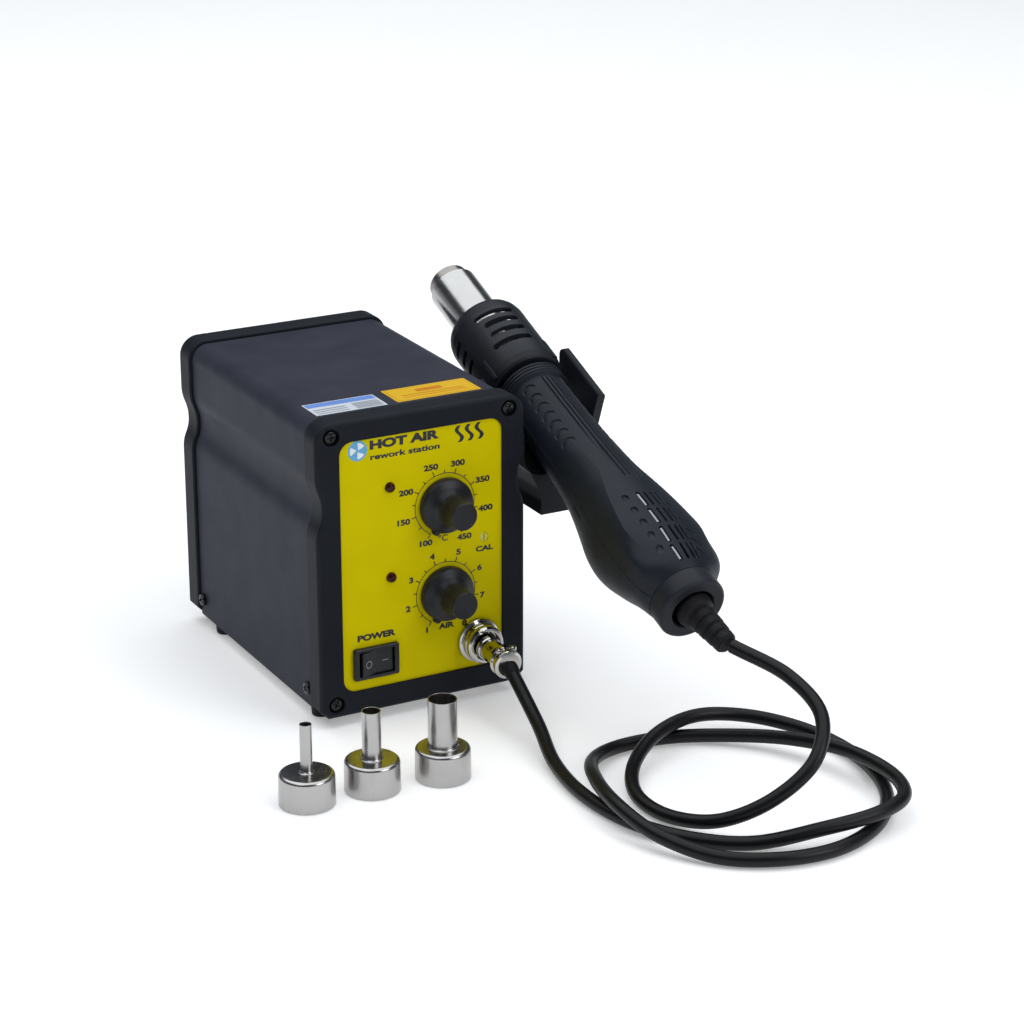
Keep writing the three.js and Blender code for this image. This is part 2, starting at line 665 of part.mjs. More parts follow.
// Vented guard over the hot barrel, with a rear spigot inside the handle's collar.
function noseGuard() {
  const { front, rear, r, spigot, bore } = GUARD;
  const inside = r - 2.4;
  const profile = [
    [bore, rear + 8], [bore, rear - 3], [inside, rear - 3], [inside, front + 3], [r - 2.6, front],
    [r - 1.6, front], [r - 0.7, front + 1.6], [r, front + 5], [r - 0.6, rear - 2.6], [r - 1.2, rear],
    [spigot, rear], [spigot, rear + 8], [bore, rear + 8],
  ];
  return turnedZ(profile, 18);
}

function barrel() {
  const { r, bore, tip, tipBore, start, step, end } = BARREL;
  const profile = [
    [tipBore, start], [tip, start], [tip, step], [r, step], [r, end], [bore, end],
    [bore, step + 1], [tipBore, step + 1], [tipBore, start],
  ];
  return turnedZ(profile, 18);
}

// Ceramic former with grooves for the heating wire.
function heaterCore() {
  const profile = [[0, 16], [7.6, 16]];
  for (let s = 20; s < 76; s += 14) profile.push([8.3, s], [8.3, s + 6], [7.6, s + 8], [7.6, s + 12]);
  profile.push([8.3, 80], [8.3, 90], [0, 90]);
  return turnedZ(profile, 8);
}

function micaSleeve() {
  return turnedZ([[8.9, 14], [10.4, 14], [10.4, 94], [8.9, 94], [8.9, 14]], 12);
}

// Blower wheel lying under the vented top: a back plate, a hub and upright blades. On the Y axis.
function blowerImpeller() {
  const { r, low, high } = FAN;
  const plate = turnedY([[0, low], [r, low], [r, low + 1.2], [5, low + 1.2], [4.4, high], [0, high]], 16);
  const blades = [];
  for (let i = 0; i < 9; i += 1) {
    const blade = box([7.2, r - 0.2], [low + 0.6, high], [-0.5, 0.5]);
    blades.push(blade.rotateY((i * 2 * Math.PI) / 9));
  }
  return join([plate, ...blades]);
}

function blowerMotor() {
  const top = FAN.low - 0.5;
  return turnedY([[0, -13], [9, -13], [9, top - 1], [8, top], [0, top]], 12);
}

// Ribbed sleeve round the lead where it leaves the tail, standing on Z.
function strainRelief() {
  const { base, tip, length } = RELIEF;
  const ribs = 4;
  const profile = [[0, 0], [base + 0.6, 0], [base + 0.6, 2.2]];
  for (let i = 0; i < ribs; i += 1) {
    const z = 3 + ((length - 4) * i) / ribs;
    const r = base + ((tip - base) * i) / ribs;
    profile.push([r - 0.9, z], [r - 0.9, z + 1.2], [r, z + 1.4], [r - 0.2, z + 4.8]);
  }
  profile.push([tip - 0.3, length], [0, length]);
  return turnedZ(profile, 10);
}

// ---------------------------------------------------------------- cradle, nozzles and lead

// Moves a shape from the handpiece's own axes, without its roll, to the station's.
function fromGunAxes(geometry) {
  return geometry.rotateX(THREE.MathUtils.degToRad(90 + GUN_TILT)).translate(...GUN_TIP);
}

// Moulded holster: a block outlined in end view, opened by a trough along the handpiece's axis.
function cradle() {
  const { inner, outer, front, rear, bottom, rim, innerRim } = CRADLE;
  const { half, bottom: depth, corner, guardHalf, guardEnd, mouth } = TROUGH;
  const outline = new THREE.Shape();
  outline.moveTo(inner, 160);
  outline.lineTo(inner, 106);
  outline.splineThru([[52.5, 103], [59.6, 96.5], [63.7, 88.3], [65.3, 82]].map((p) => new THREE.Vector2(...p)));
  outline.lineTo(64.6, bottom);
  outline.lineTo(outer - 5, bottom);
  outline.quadraticCurveTo(outer, bottom, outer, bottom + 5);
  outline.lineTo(outer, 160);
  const block = prism(outline, [front, rear], { curveSegments: 8 });
  const channel = new THREE.Shape();
  channel.moveTo(half, 80);
  channel.lineTo(half, depth + corner);
  channel.quadraticCurveTo(half, depth, half - corner, depth);
  channel.lineTo(corner - half, depth);
  channel.quadraticCurveTo(-half, depth, -half, depth + corner);
  channel.lineTo(-half, 80);
  const trough = new THREE.ExtrudeGeometry(channel, { depth: 120, bevelEnabled: false, curveSegments: 4 });
  const guardRoom = turnedZ([[0, 40], [guardHalf, 40], [guardHalf, guardEnd], [0, guardEnd]], 24);
  const screws = cradleScrewPoints().flatMap(([y, z]) => [
    sideways([[0, 40], [SCREW.hole, 40], [SCREW.hole, 60], [0, 60]], 8).translate(0, y, z),
    sideways([[0, 54], [CRADLE_SCREW.head + 0.4, 54], [CRADLE_SCREW.head + 0.4, 60], [0, 60]], 10)
      .translate(0, y, z),
  ]);
  return cut(block, [
    fromGunAxes(trough.translate(0, 0, 40)),
    fromGunAxes(guardRoom),
    fromGunAxes(box([-40, 40], [rim, 80], [20, 160])),
    fromGunAxes(box([-40, -10], [innerRim, 80], [20, 160])),
    fromGunAxes(box([0, 40], [-12, 80], [mouth, 170])),
    ...screws,
  ]);
}

// Flush screw on the X axis, driven towards the case.
function cradleScrew() {
  const { head } = CRADLE_SCREW;
  return sideways([[0, 43], [SCREW.shank, 43], [SCREW.shank, 54.3], [head, 54.3], [head, 55.8], [0, 55.8]], 10);
}

// Turned nozzle: a collar that slips over the barrel, a flat shoulder and a straight outlet.
function nozzle(outlet) {
  const { collar, bore, shoulder, height, wall } = NOZZLE;
  const inside = outlet - wall;
  const profile = [
    [bore, 0], [collar, 0], [collar, shoulder - 1], [collar - 0.4, shoulder - 0.3],
    [collar - 1.1, shoulder], [outlet + 0.9, shoulder + 0.1], [outlet + 0.2, shoulder + 0.5],
    [outlet, shoulder + 1.4], [outlet, height], [inside, height], [inside, shoulder - 0.6],
    [bore - 1, shoulder - 0.9], [bore, shoulder - 1.8], [bore, 0],
  ];
  return turnedZ(profile, 16);
}

function lead() {
  const { r, sides, steps } = LEAD;
  const route = new THREE.CatmullRomCurve3(LEAD_ROUTE.map((point) => new THREE.Vector3(...point)));
  const section = new THREE.Shape();
  for (let i = 0; i <= sides; i += 1) {
    const angle = (2 * Math.PI * i) / sides;
    const corner = [r * Math.cos(angle), r * Math.sin(angle)];
    if (i === 0) section.moveTo(...corner);
    else if (i < sides) section.lineTo(...corner);
  }
  return closed(new THREE.ExtrudeGeometry(section, { steps, bevelEnabled: false, extrudePath: route }));
}

// ---------------------------------------------------------------- assembly

const station = new THREE.Group();
const unit = new THREE.Group();
const gun = new THREE.Group();
gun.position.set(...GUN_TIP);
gun.rotation.set(
  THREE.MathUtils.degToRad(90 + GUN_TILT),
  0,
  THREE.MathUtils.degToRad(-GUN_ROLL),
);
station.add(unit, gun);

function add(parent, name, geometry, [color, roughness, metalness], position = [0, 0, 0]) {
  const material = new THREE.MeshStandardMaterial({ color, roughness, metalness });
  const mesh = new THREE.Mesh(closed(geometry), material);
  mesh.name = name;
  mesh.position.set(...position);
  parent.add(mesh);
  return mesh;
}

function addCase() {
  add(unit, 'top_cover', topCover(), COVER_GREY);
  add(unit, 'chassis_plate', chassisPlate(), SHEET_STEEL);
  add(unit, 'front_bezel', bezel(BEZEL.frontCut), BLACK_PLASTIC);
  add(unit, 'rear_bezel', facingBack(bezel(BEZEL.rearCut)), BLACK_PLASTIC);
  add(unit, 'front_panel', frontPanel(), PANEL_YELLOW);
  add(unit, 'rear_panel', rearPanel(), BLACK_PLASTIC);
  const seat = CORNER_SCREW.sunk - SCREW.headHeight - GAP;
  cornerPoints().forEach(([x, z], i) => {
    const front = screw(CORNER_SCREW.length);
    const rear = facingBack(screw(CORNER_SCREW.length).translate(0, seat, 0));
    add(unit, `front_screw_${i + 1}`, front, BLACK_PLASTIC, [x, seat, z]);
    add(unit, `rear_screw_${i + 1}`, rear, BLACK_PLASTIC, [x, 0, z]);
  });
  addSideScrews();
  addFeet();
}

function addSideScrews() {
  const out = CASE.width / 2 - COVER.inset + SCREW.headHeight + GAP;
  let count = 0;
  for (const side of [-1, 1]) {
    for (const [y, z] of sidePoints()) {
      count += 1;
      const body = screw(7).rotateZ((side * Math.PI) / 2);
      add(unit, `side_screw_${count}`, body, BLACK_PLASTIC, [side * out, y, z]);
    }
  }
}

function addFeet() {
  let count = 0;
  for (const x of [-FOOT.x, FOOT.x]) {
    for (const y of FOOT.y) {
      count += 1;
      add(unit, `foot_${count}`, foot(), RUBBER, [x, y, 0]);
    }
  }
}

function addDial(name, [x, z]) {
  add(unit, `${name}_knob`, knob(), BLACK_PLASTIC, [x, 0, z]);
  add(unit, `${name}_shaft`, shaft(), BRIGHT_STEEL, [x, 0, z]);
  add(unit, `${name}_potentiometer`, potentiometer(), IRON, [x, 0, z]);
}

function addControls() {
  addDial('temperature', TEMPERATURE_AT);
  addDial('air', AIR_AT);
  add(unit, 'heater_led', led(), DARK_RED, [HEATER_LED_AT[0], 0, HEATER_LED_AT[1]]);
  add(unit, 'fan_led', led(), DARK_RED, [FAN_LED_AT[0], 0, FAN_LED_AT[1]]);
  add(unit, 'cal_trimmer', calTrimmer(), PANEL_YELLOW, [CAL_AT[0], 0, CAL_AT[1]]);
  add(unit, 'switch_housing', switchHousing(), BLACK_PLASTIC, [SWITCH_AT[0], 0, SWITCH_AT[1]]);
  add(unit, 'power_rocker', rocker(), BLACK_PLASTIC, [SWITCH_AT[0], ROCKER.pivot, SWITCH_AT[1]]);
}

function addConnector() {
  const at = [SOCKET_AT[0], 0, SOCKET_AT[1]];
  add(unit, 'socket_body', socketBody(), BRIGHT_STEEL, at);
  add(unit, 'socket_nut', socketNut(), CHROME, at);
  add(unit, 'plug_ring', plugRing(), CHROME, at);
  const droop = THREE.MathUtils.degToRad(PLUG.droop);
  add(unit, 'plug_shell', plugShell(), CHROME, at).rotation.x = droop;
  add(unit, 'plug_clamp', plugClamp(), CHROME, at).rotation.x = droop;
}

function addInside() {
  add(unit, 'main_board', mainBoard(), BOARD_GREEN);
  add(unit, 'transformer_core', transformerCore(), IRON);
  add(unit, 'transformer_coil', transformerCoil(), COPPER_TAPE);
  add(unit, 'mains_inlet', mainsInlet(), BLACK_PLASTIC);
  add(unit, 'fuse_drawer', fuseDrawer(), BLACK_PLASTIC);
}

function addGun() {
  add(gun, 'handle_top', handleHalf(topAngles), HANDLE_BLACK);
  add(gun, 'handle_bottom', handleHalf(bottomAngles), HANDLE_BLACK);
  add(gun, 'tail_ring', tailRing(), HANDLE_BLACK);
  add(gun, 'nose_guard', noseGuard(), HANDLE_BLACK);
  add(gun, 'barrel', barrel(), BRIGHT_STEEL);
  add(gun, 'heater_core', heaterCore(), CERAMIC);
  add(gun, 'mica_sleeve', micaSleeve(), MICA);
  add(gun, 'blower_impeller', blowerImpeller(), HANDLE_BLACK, [0, 0, FAN.s]);
  add(gun, 'blower_motor', blowerMotor(), BRASS, [0, 0, FAN.s]);
  const relief = add(gun, 'strain_relief', strainRelief(), RUBBER, [0, 0, RELIEF.start]);
  const lean = THREE.MathUtils.degToRad(RELIEF.lean);
  const roll = THREE.MathUtils.degToRad(GUN_ROLL);
  relief.rotation.set(Math.sin(roll) * -lean, Math.cos(roll) * lean, 0);
}

function addCradle() {
  add(unit, 'cradle', cradle(), BLACK_PLASTIC);
  cradleScrewPoints().forEach(([y, z], i) => {
    add(unit, `cradle_screw_${i + 1}`, cradleScrew(), BRIGHT_STEEL, [0, y, z]);
  });
}

function addLoosePieces() {
  for (const [name, x, y, outlet] of NOZZLES) add(unit, name, nozzle(outlet), BRIGHT_STEEL, [x, y, 0]);
  add(unit, 'cable', lead(), LEAD_BLACK);
}

// Puts the origin under the middle of everything but the lead and its plug.
function centre() {
  const onLead = ['cable', 'plug_shell', 'plug_ring', 'plug_clamp'];
  const extent = new THREE.Box3();
  station.updateMatrixWorld(true);
  station.traverse((piece) => {
    if (piece.isMesh && !onLead.includes(piece.name)) extent.expandByObject(piece, true);
  });
  const middle = extent.getCenter(new THREE.Vector3());
  station.position.set(-middle.x, -middle.y, 0);
}

addCase();
addControls();
addConnector();
addInside();
addGun();
addCradle();
addLoosePieces();
centre();

export default station;
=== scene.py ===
import math

import bmesh
import bpy
import numpy as np
from mathutils import Matrix, Vector
from mathutils.geometry import tessellate_polygon


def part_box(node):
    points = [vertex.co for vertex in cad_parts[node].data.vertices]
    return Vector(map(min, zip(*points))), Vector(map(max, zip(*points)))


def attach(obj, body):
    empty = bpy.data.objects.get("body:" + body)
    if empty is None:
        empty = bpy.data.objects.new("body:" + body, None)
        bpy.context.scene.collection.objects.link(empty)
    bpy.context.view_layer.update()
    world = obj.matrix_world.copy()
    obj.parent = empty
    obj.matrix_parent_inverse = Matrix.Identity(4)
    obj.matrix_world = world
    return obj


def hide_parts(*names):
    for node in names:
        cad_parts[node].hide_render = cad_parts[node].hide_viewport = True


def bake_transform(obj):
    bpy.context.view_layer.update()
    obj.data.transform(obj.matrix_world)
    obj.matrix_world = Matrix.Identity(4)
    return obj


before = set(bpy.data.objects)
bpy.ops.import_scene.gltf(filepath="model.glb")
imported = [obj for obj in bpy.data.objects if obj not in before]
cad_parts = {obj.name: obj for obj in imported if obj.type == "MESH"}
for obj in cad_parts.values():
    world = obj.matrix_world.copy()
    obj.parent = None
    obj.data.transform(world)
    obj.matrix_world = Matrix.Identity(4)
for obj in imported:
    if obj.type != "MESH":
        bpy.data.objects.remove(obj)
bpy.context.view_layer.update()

# ---- places
# Pieces are drawn in millimetres: X right, Y towards the back, Z up, from the middle of the case's
# front face at floor level. The handpiece has its own axes: X across, Y up, Z from tip to tail.


def shift(x, y, z):
    return Matrix.Translation((x, y, z))


def spin(degrees, axis):
    return Matrix.Rotation(math.radians(degrees), 4, axis)


front_low, front_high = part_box("front_bezel")
CASE_FRONT = Vector(((front_low.x + front_high.x) / 2, front_low.y, 0))
UNIT = Matrix.Translation(CASE_FRONT) @ Matrix.Scale(0.001, 4)
GUN_TIP = (76, 123.44, 155)
GUN_TILT = 111.376
GUN_ROLL = math.radians(8.5)
GUN_LEVEL = UNIT @ shift(*GUN_TIP) @ spin(GUN_TILT, "X")
GUN = GUN_LEVEL @ Matrix.Rotation(-GUN_ROLL, 4, "Z")
CASE_DEPTH = 149
FACING_BACK = UNIT @ shift(0, CASE_DEPTH, 0) @ spin(180, "Z")

# ---- camera

CAMERA_AT = (-528.17, -1058.49, 528.53)
CAMERA_TARGET = (22.36, -39.32, 101.53)
CAMERA_LENS = 103.09


def link(thing):
    bpy.context.scene.collection.objects.link(thing)
    return thing


def aim(thing, place, target):
    thing.location = place
    thing.rotation_mode = "QUATERNION"
    thing.rotation_quaternion = (Vector(target) - Vector(place)).to_track_quat("-Z", "Y")


camera = link(bpy.data.objects.new("camera", bpy.data.cameras.new("camera")))
aim(camera, UNIT @ Vector(CAMERA_AT), UNIT @ Vector(CAMERA_TARGET))
camera.data.sensor_width = 36
camera.data.lens = CAMERA_LENS
camera.data.clip_start = 0.05
camera.data.clip_end = 50
bpy.context.scene.camera = camera

# ---- materials


# A new node with its inputs set to values, or linked where the value is another node's output.
def node(tree, kind, inputs, data_type=None):
    made = tree.nodes.new(kind)
    if data_type:
        made.data_type = data_type
    feed(tree, made, inputs)
    return made


def feed(tree, made, inputs):
    for name, value in inputs.items():
        if isinstance(value, bpy.types.NodeSocket):
            tree.links.new(value, made.inputs[name])
        else:
            made.inputs[name].default_value = value


def noise(tree, scale, detail, stretch=(1, 1, 1)):
    place = node(tree, "ShaderNodeTexCoord", {})
    spread = node(tree, "ShaderNodeMapping", {"Vector": place.outputs["Object"], "Scale": stretch})
    inputs = {"Vector": spread.outputs["Vector"], "Scale": scale, "Detail": detail}
    return node(tree, "ShaderNodeTexNoise", inputs).outputs["Fac"]


def ranged(tree, value, low, high, start=0.3, end=0.7):
    inputs = {"Value": value, "From Min": start, "From Max": end, "To Min": low, "To Max": high}
    return node(tree, "ShaderNodeMapRange", inputs).outputs["Result"]


def mixed(tree, factor, first, second):
    inputs = {"A": first, "B": second, "Factor": factor}
    return node(tree, "ShaderNodeMix", inputs, "RGBA").outputs["Result"]


def shader_of(tree, kind):
    return next(n for n in tree.nodes if n.type == kind)


# A surface with uneven colour and gloss, a fine relief and, where asked, lighter worn edges.
def surface(name, colour, rough, metal=0.0, grain=1500, relief=0.02, uneven=0.12, gloss=0.5,
            wear=0.0, stretch=(1, 1, 1), patch=60):
    material = bpy.data.materials.new(name)
    material.use_nodes = True
    tree = material.node_tree
    low = (*[c * (1 - uneven) for c in colour], 1)
    high = (*[min(1, c * (1 + uneven)) for c in colour], 1)
    shade = mixed(tree, ranged(tree, noise(tree, patch, 4), 0, 1), low, high)
    if wear:
        shape = node(tree, "ShaderNodeNewGeometry", {})
        edge = ranged(tree, shape.outputs["Pointiness"], 0, wear, 0.51, 0.56)
        shade = mixed(tree, edge, shade, (*[min(1, c * 2.2 + 0.02) for c in colour], 1))
    fine = noise(tree, grain, 2, stretch)
    bump = node(tree, "ShaderNodeBump", {"Strength": 0.6, "Distance": relief * 0.001, "Height": fine})
    feed(tree, shader_of(tree, "BSDF_PRINCIPLED"), {
        "Base Color": shade, "Metallic": metal, "Specular IOR Level": gloss, "Normal": bump.outputs["Normal"],
        "Roughness": ranged(tree, fine, rough * 0.88, min(1, rough * 1.12)),
    })
    return material


MOULDED = surface("moulded_case", (0.009, 0.011, 0.016), 0.5, grain=2600, relief=0.05, gloss=0.1, wear=0.25)
HANDLE = surface("moulded_handle", (0.010, 0.013, 0.020), 0.46, grain=2600, relief=0.05, gloss=0.18,
                 wear=0.3)
GUARD_BLACK = surface("moulded_guard", (0.011, 0.013, 0.018), 0.48, grain=2600, relief=0.05, gloss=0.2,
                      wear=0.3)
HOLSTER_BLACK = surface("moulded_holster", (0.012, 0.014, 0.019), 0.5, grain=2600, relief=0.05, gloss=0.16)
COVER = surface("cover_paint", (0.040, 0.043, 0.058), 0.38, grain=3200, relief=0.05, gloss=0.03)
KNOB_BLACK = surface("knob_plastic", (0.009, 0.010, 0.013), 0.38, grain=3000, relief=0.04, gloss=0.3,
                     wear=0.2)
ROCKER_BLACK = surface("rocker_plastic", (0.007, 0.008, 0.011), 0.28, grain=3000, relief=0.02, gloss=0.35)
YELLOW = surface("panel_film", (0.62, 0.52, 0.0004), 0.4, grain=1800, relief=0.02, uneven=0.03, gloss=0.03)
CAL_YELLOW = surface("adjuster_plastic", (0.60, 0.56, 0.10), 0.4, uneven=0.04, gloss=0.2)
SCREW_BLACK = surface("screw_oxide", (0.003, 0.003, 0.004), 0.24, grain=2000, gloss=0.35)
RUBBER = surface("rubber", (0.007, 0.007, 0.009), 0.6, grain=1500, relief=0.08, gloss=0.2)
CHROME = surface("chrome", (0.48, 0.47, 0.45), 0.1, metal=1, grain=700, relief=0.01, uneven=0.03)
NICKEL = surface("nozzle_steel", (0.42, 0.41, 0.405), 0.25, metal=1, grain=420, relief=0.03, uneven=0.05,
                 stretch=(1, 1, 0.1))
TIP_STEEL = surface("tip_steel", (0.27, 0.25, 0.235), 0.3, metal=1, grain=500, relief=0.04, uneven=0.1)
BARREL_STEEL = surface("barrel_steel", (0.44, 0.435, 0.425), 0.22, metal=1, grain=500, relief=0.04,
                       uneven=0.06)
SCREW_STEEL = surface("screw_steel", (0.60, 0.60, 0.58), 0.3, metal=1)
SHEET = surface("tray_steel", (0.50, 0.50, 0.50), 0.42, metal=1, grain=900, relief=0.03)
IRON = surface("laminated_iron", (0.06, 0.058, 0.055), 0.6, metal=0.7)
BOARD = surface("board_resist", (0.01, 0.09, 0.03), 0.4, uneven=0.1)
TAPE = surface("coil_tape", (0.42, 0.18, 0.04), 0.45)
CERAMIC = surface("ceramic", (0.70, 0.66, 0.56), 0.7)
MICA = surface("mica", (0.42, 0.36, 0.22), 0.5)
BRASS = surface("brass", (0.62, 0.45, 0.14), 0.3, metal=1)
LEAD_PVC = surface("lead_sleeve", (0.005, 0.005, 0.006), 0.36, grain=900, relief=0.03, gloss=0.22, patch=35)
LENS_RED = surface("lens_red", (0.030, 0.001, 0.002), 0.16, uneven=0.2, relief=0.0, gloss=0.25)
# Painted shadow for the faces inside the handle's deep vent slots.
SLOT_DARK = surface("slot_shadow", (0.001, 0.001, 0.0015), 0.8, gloss=0.0)


def printed(name, colour, rough, uneven, gloss=0.5):
    return surface(name, colour, rough, uneven=uneven, relief=0.01, gloss=gloss)


# Black ink for the panel's print, also used as painted shade for the hole on each dial's grip.
INK_AND_HOLE_SHADE = printed("ink_black_and_hole_shade", (0.006, 0.007, 0.009), 0.4, 0.15)
WHITE_INK = printed("ink_white", (0.80, 0.82, 0.84), 0.4, 0.03)
GREY_INK = printed("ink_grey", (0.30, 0.31, 0.34), 0.4, 0.03)
BLUE_INK = printed("ink_blue", (0.10, 0.38, 0.62), 0.35, 0.05)
PAPER = printed("label_white", (0.62, 0.66, 0.72), 0.45, 0.03, gloss=0.2)
LABEL_BLUE = printed("label_blue", (0.13, 0.27, 0.66), 0.4, 0.05)
LABEL_GREY = printed("label_grey", (0.36, 0.38, 0.42), 0.45, 0.05)
ORANGE = printed("label_orange", (0.74, 0.45, 0.012), 0.4, 0.03, gloss=0.2)
ORANGE_DARK = printed("label_bars", (0.62, 0.20, 0.01), 0.45, 0.05, gloss=0.2)
# Painted light: a pale grey for the strips laid in the first slot of each vent block.
SLOT_LIGHT_PAINT = surface("slot_light_painted", (0.34, 0.36, 0.39), 0.5, uneven=0.05)

# ---- drawing tools


# Corner points in millimetres and the faces between them; a tint picks one of the piece's materials.
class Part:
    def __init__(self):
        self.points = []
        self.faces = []
        self.tints = []

    def add(self, points, faces):
        base = len(self.points)
        self.points.extend(tuple(p) for p in points)
        self.faces.extend(tuple(base + i for i in face) for face in faces)
        self.tints.extend([0] * len(faces))
        return self

    def join(self, other, matrix=None, tint=None):
        points = other.points if matrix is None else [matrix @ Vector(p) for p in other.points]
        base = len(self.points)
        self.points.extend(tuple(p) for p in points)
        self.faces.extend(tuple(base + i for i in face) for face in other.faces)
        self.tints.extend(other.tints if tint is None else [tint] * len(other.faces))
        return self


def joined(*parts):
    whole = Part()
    for part in parts:
        whole.join(part)
    return whole


# Quads between neighbouring rows of equally many points.
def skin(rows, wrap=True):
    count = len(rows[0])
    last = count if wrap else count - 1
    faces = []
    for j in range(len(rows) - 1):
        for i in range(last):
            a = j * count + i
            b = j * count + (i + 1) % count
            faces.append((a, b, b + count, a + count))
    return Part().add([p for row in rows for p in row], faces)


# A flat face inside the first loop and outside the others; the loops are 3-D points in one plane.
def plate(outer, *holes):
    loops = [[Vector(p) for p in loop] for loop in (outer, *holes)]
    return Part().add([p for loop in loops for p in loop], tessellate_polygon(loops))


# Rows of points skinned and closed at both ends.
def capped(rows):
    return joined(skin(rows), plate(rows[0]), plate(rows[-1]))


# A line through 2-D corners, with an arc at each corner whose third number gives a radius.
def soften(corners, closed=False, steps=4):
    count = len(corners)
    line = []
    for i, corner in enumerate(corners):
        at = Vector(corner[:2])
        radius = corner[2] if len(corner) > 2 else 0
        if not radius or (not closed and i in (0, count - 1)):
            line.append(tuple(at))
            continue
        back = Vector(corners[i - 1][:2]) - at
        ahead = Vector(corners[(i + 1) % count][:2]) - at
        angle = back.angle(ahead)
        reach = min(radius / math.tan(angle / 2), back.length * 0.49, ahead.length * 0.49)
        back.normalize()
        ahead.normalize()
        centre = at + (back + ahead).normalized() * (reach / math.cos(angle / 2))
        first = at + back * reach - centre
        final = at + ahead * reach - centre
        sweep = first.angle(final)
        for k in range(steps + 1):
            t = k / steps
            spoke = (first * math.sin((1 - t) * sweep) + final * math.sin(t * sweep)) / math.sin(sweep)
            line.append(tuple(centre + spoke))
    return line


AXES = {
    "X": lambda r, h, a: (h, r * math.cos(a), r * math.sin(a)),
    "Y": lambda r, h, a: (r * math.cos(a), h, r * math.sin(a)),
    "Z": lambda r, h, a: (r * math.cos(a), r * math.sin(a), h),
}


def full_turn(sides):
    return [2 * math.pi * i / sides for i in range(sides)]


def quarter_turn(steps):
    return [math.pi / 2 * k / steps for k in range(steps + 1)]


# A body of revolution from (radius, distance along the axis, corner radius) points.
def turned(profile, axis="Z", sides=96, closed=False, steps=4):
    line = soften(profile, closed, steps)
    if closed:
        line.append(line[0])
    return skin([[AXES[axis](max(r, 0), h, a) for a in full_turn(sides)] for r, h in line])


def circle(x, z, r, sides=48):
    return [(x + r * math.cos(a), z + r * math.sin(a)) for a in full_turn(sides)]


def rectangle(x0, x1, z0, z1, r, steps=8):
    return soften([(x0, z0, r), (x1, z0, r), (x1, z1, r), (x0, z1, r)], True, steps)


def standing(loop, y):
    return [(x, y, z) for x, z in loop]


# A solid with a flat outline in X and Z and rounded front and back edges; grow(t) gives the outline
# drawn t inwards.
def slab(grow, front, back, edge=0.4, steps=3):
    turn = quarter_turn(steps)
    rows = [standing(grow(edge * (1 - math.sin(a))), front + edge * (1 - math.cos(a))) for a in turn]
    rows += [standing(grow(edge * (1 - math.cos(a))), back - edge * (1 - math.sin(a))) for a in turn]
    return capped(rows)


def block(x, y, z, r=0.3):
    def outline(inset):
        return rectangle(x[0] + inset, x[1] - inset, z[0] + inset, z[1] - inset, max(r - inset, 0.02), 2)

    return slab(outline, y[0], y[1], min(r, 0.45 * (y[1] - y[0])), 2)


# Merges points closer than a distance and turns the faces outwards.
def clean(mesh, distance, degenerate=False):
    shape = bmesh.new()
    shape.from_mesh(mesh)
    bmesh.ops.remove_doubles(shape, verts=shape.verts, dist=distance)
    if degenerate:
        bmesh.ops.dissolve_degenerate(shape, edges=shape.edges, dist=1e-7)
    bmesh.ops.recalc_face_normals(shape, faces=shape.faces)
    shape.to_mesh(mesh)
    shape.free()


def solid_of(part):
    mesh = bpy.data.meshes.new("work")
    mesh.from_pydata(part.points, [], part.faces)
    clean(mesh, 1e-4)
    return link(bpy.data.objects.new("work", mesh))


# The points and faces of an object with its modifiers applied.
def evaluated(work):
    view = bpy.context.evaluated_depsgraph_get()
    mesh = bpy.data.meshes.new_from_object(work.evaluated_get(view))
    return [tuple(v.co) for v in mesh.vertices], [tuple(p.vertices) for p in mesh.polygons]


# The first part with the others cut away from it.
def carve(part, cutters):
    body = solid_of(part)
    tools = [solid_of(cutter) for cutter in cutters]
    for tool in tools:
        step = body.modifiers.new("cut", "BOOLEAN")
        step.operation = "DIFFERENCE"
        step.solver = "EXACT"
        step.object = tool
    result = Part().add(*evaluated(body))
    for work in [body, *tools]:
        bpy.data.objects.remove(work)
    return result


# Lettering in the plane Y = 0, its middle at x, z and its capitals as high as asked.
def words(text, x, z, height, weight=0.0, width=None, stretch=1.0):
    curve = bpy.data.curves.new("words", "FONT")
    curve.body = text
    curve.offset = weight
    curve.resolution_u = 6
    work = link(bpy.data.objects.new("words", curve))
    bpy.context.view_layer.update()
    corners, faces = evaluated(work)
    bpy.data.objects.remove(work)
    corners = np.array(corners)
    low, high = corners.min(0), corners.max(0)
    up = height / (high[1] - low[1])
    across = up * stretch if width is None else width / (high[0] - low[0])
    middle = (low + high) / 2
    points = [(x + (c[0] - middle[0]) * across, 0, z + (c[1] - middle[1]) * up) for c in corners]
    return Part().add(points, faces)


def stroke(a, b, width):
    along = (Vector(b) - Vector(a)).normalized() * width / 2
    side = Vector((-along.y, along.x))
    a, b = Vector(a), Vector(b)
    return Part().add([(p.x, 0, p.y) for p in (a + side, b + side, b - side, a - side)], [(0, 1, 2, 3)])


# An arc of a ring in the plane Y = 0; angles are clockwise from the top, in degrees.
def arc_band(x, z, r, width, start, end, steps=48):
    rows = []
    for radius in (r - width / 2, r + width / 2):
        angles = [math.radians(start + (end - start) * k / steps) for k in range(steps + 1)]
        rows.append([(x + radius * math.sin(a), 0, z + radius * math.cos(a)) for a in angles])
    return skin(rows, False)


def make(name, part, matrix, body, materials, nodes=(), sharp=32):
    mesh = bpy.data.meshes.new(name)
    mesh.from_pydata([matrix @ Vector(p) for p in part.points], [], part.faces)
    for material in materials:
        mesh.materials.append(material)
    mesh.polygons.foreach_set("material_index", part.tints)
    clean(mesh, 2e-6, True)
    mesh.shade_smooth()
    mesh.set_sharp_from_angle(angle=math.radians(sharp))
    piece = link(bpy.data.objects.new(name, mesh))
    even = piece.modifiers.new("normals", "WEIGHTED_NORMAL")
    even.keep_sharp = True
    if body:
        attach(piece, body)
    if nodes:
        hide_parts(*nodes)
    return piece


# ---- case

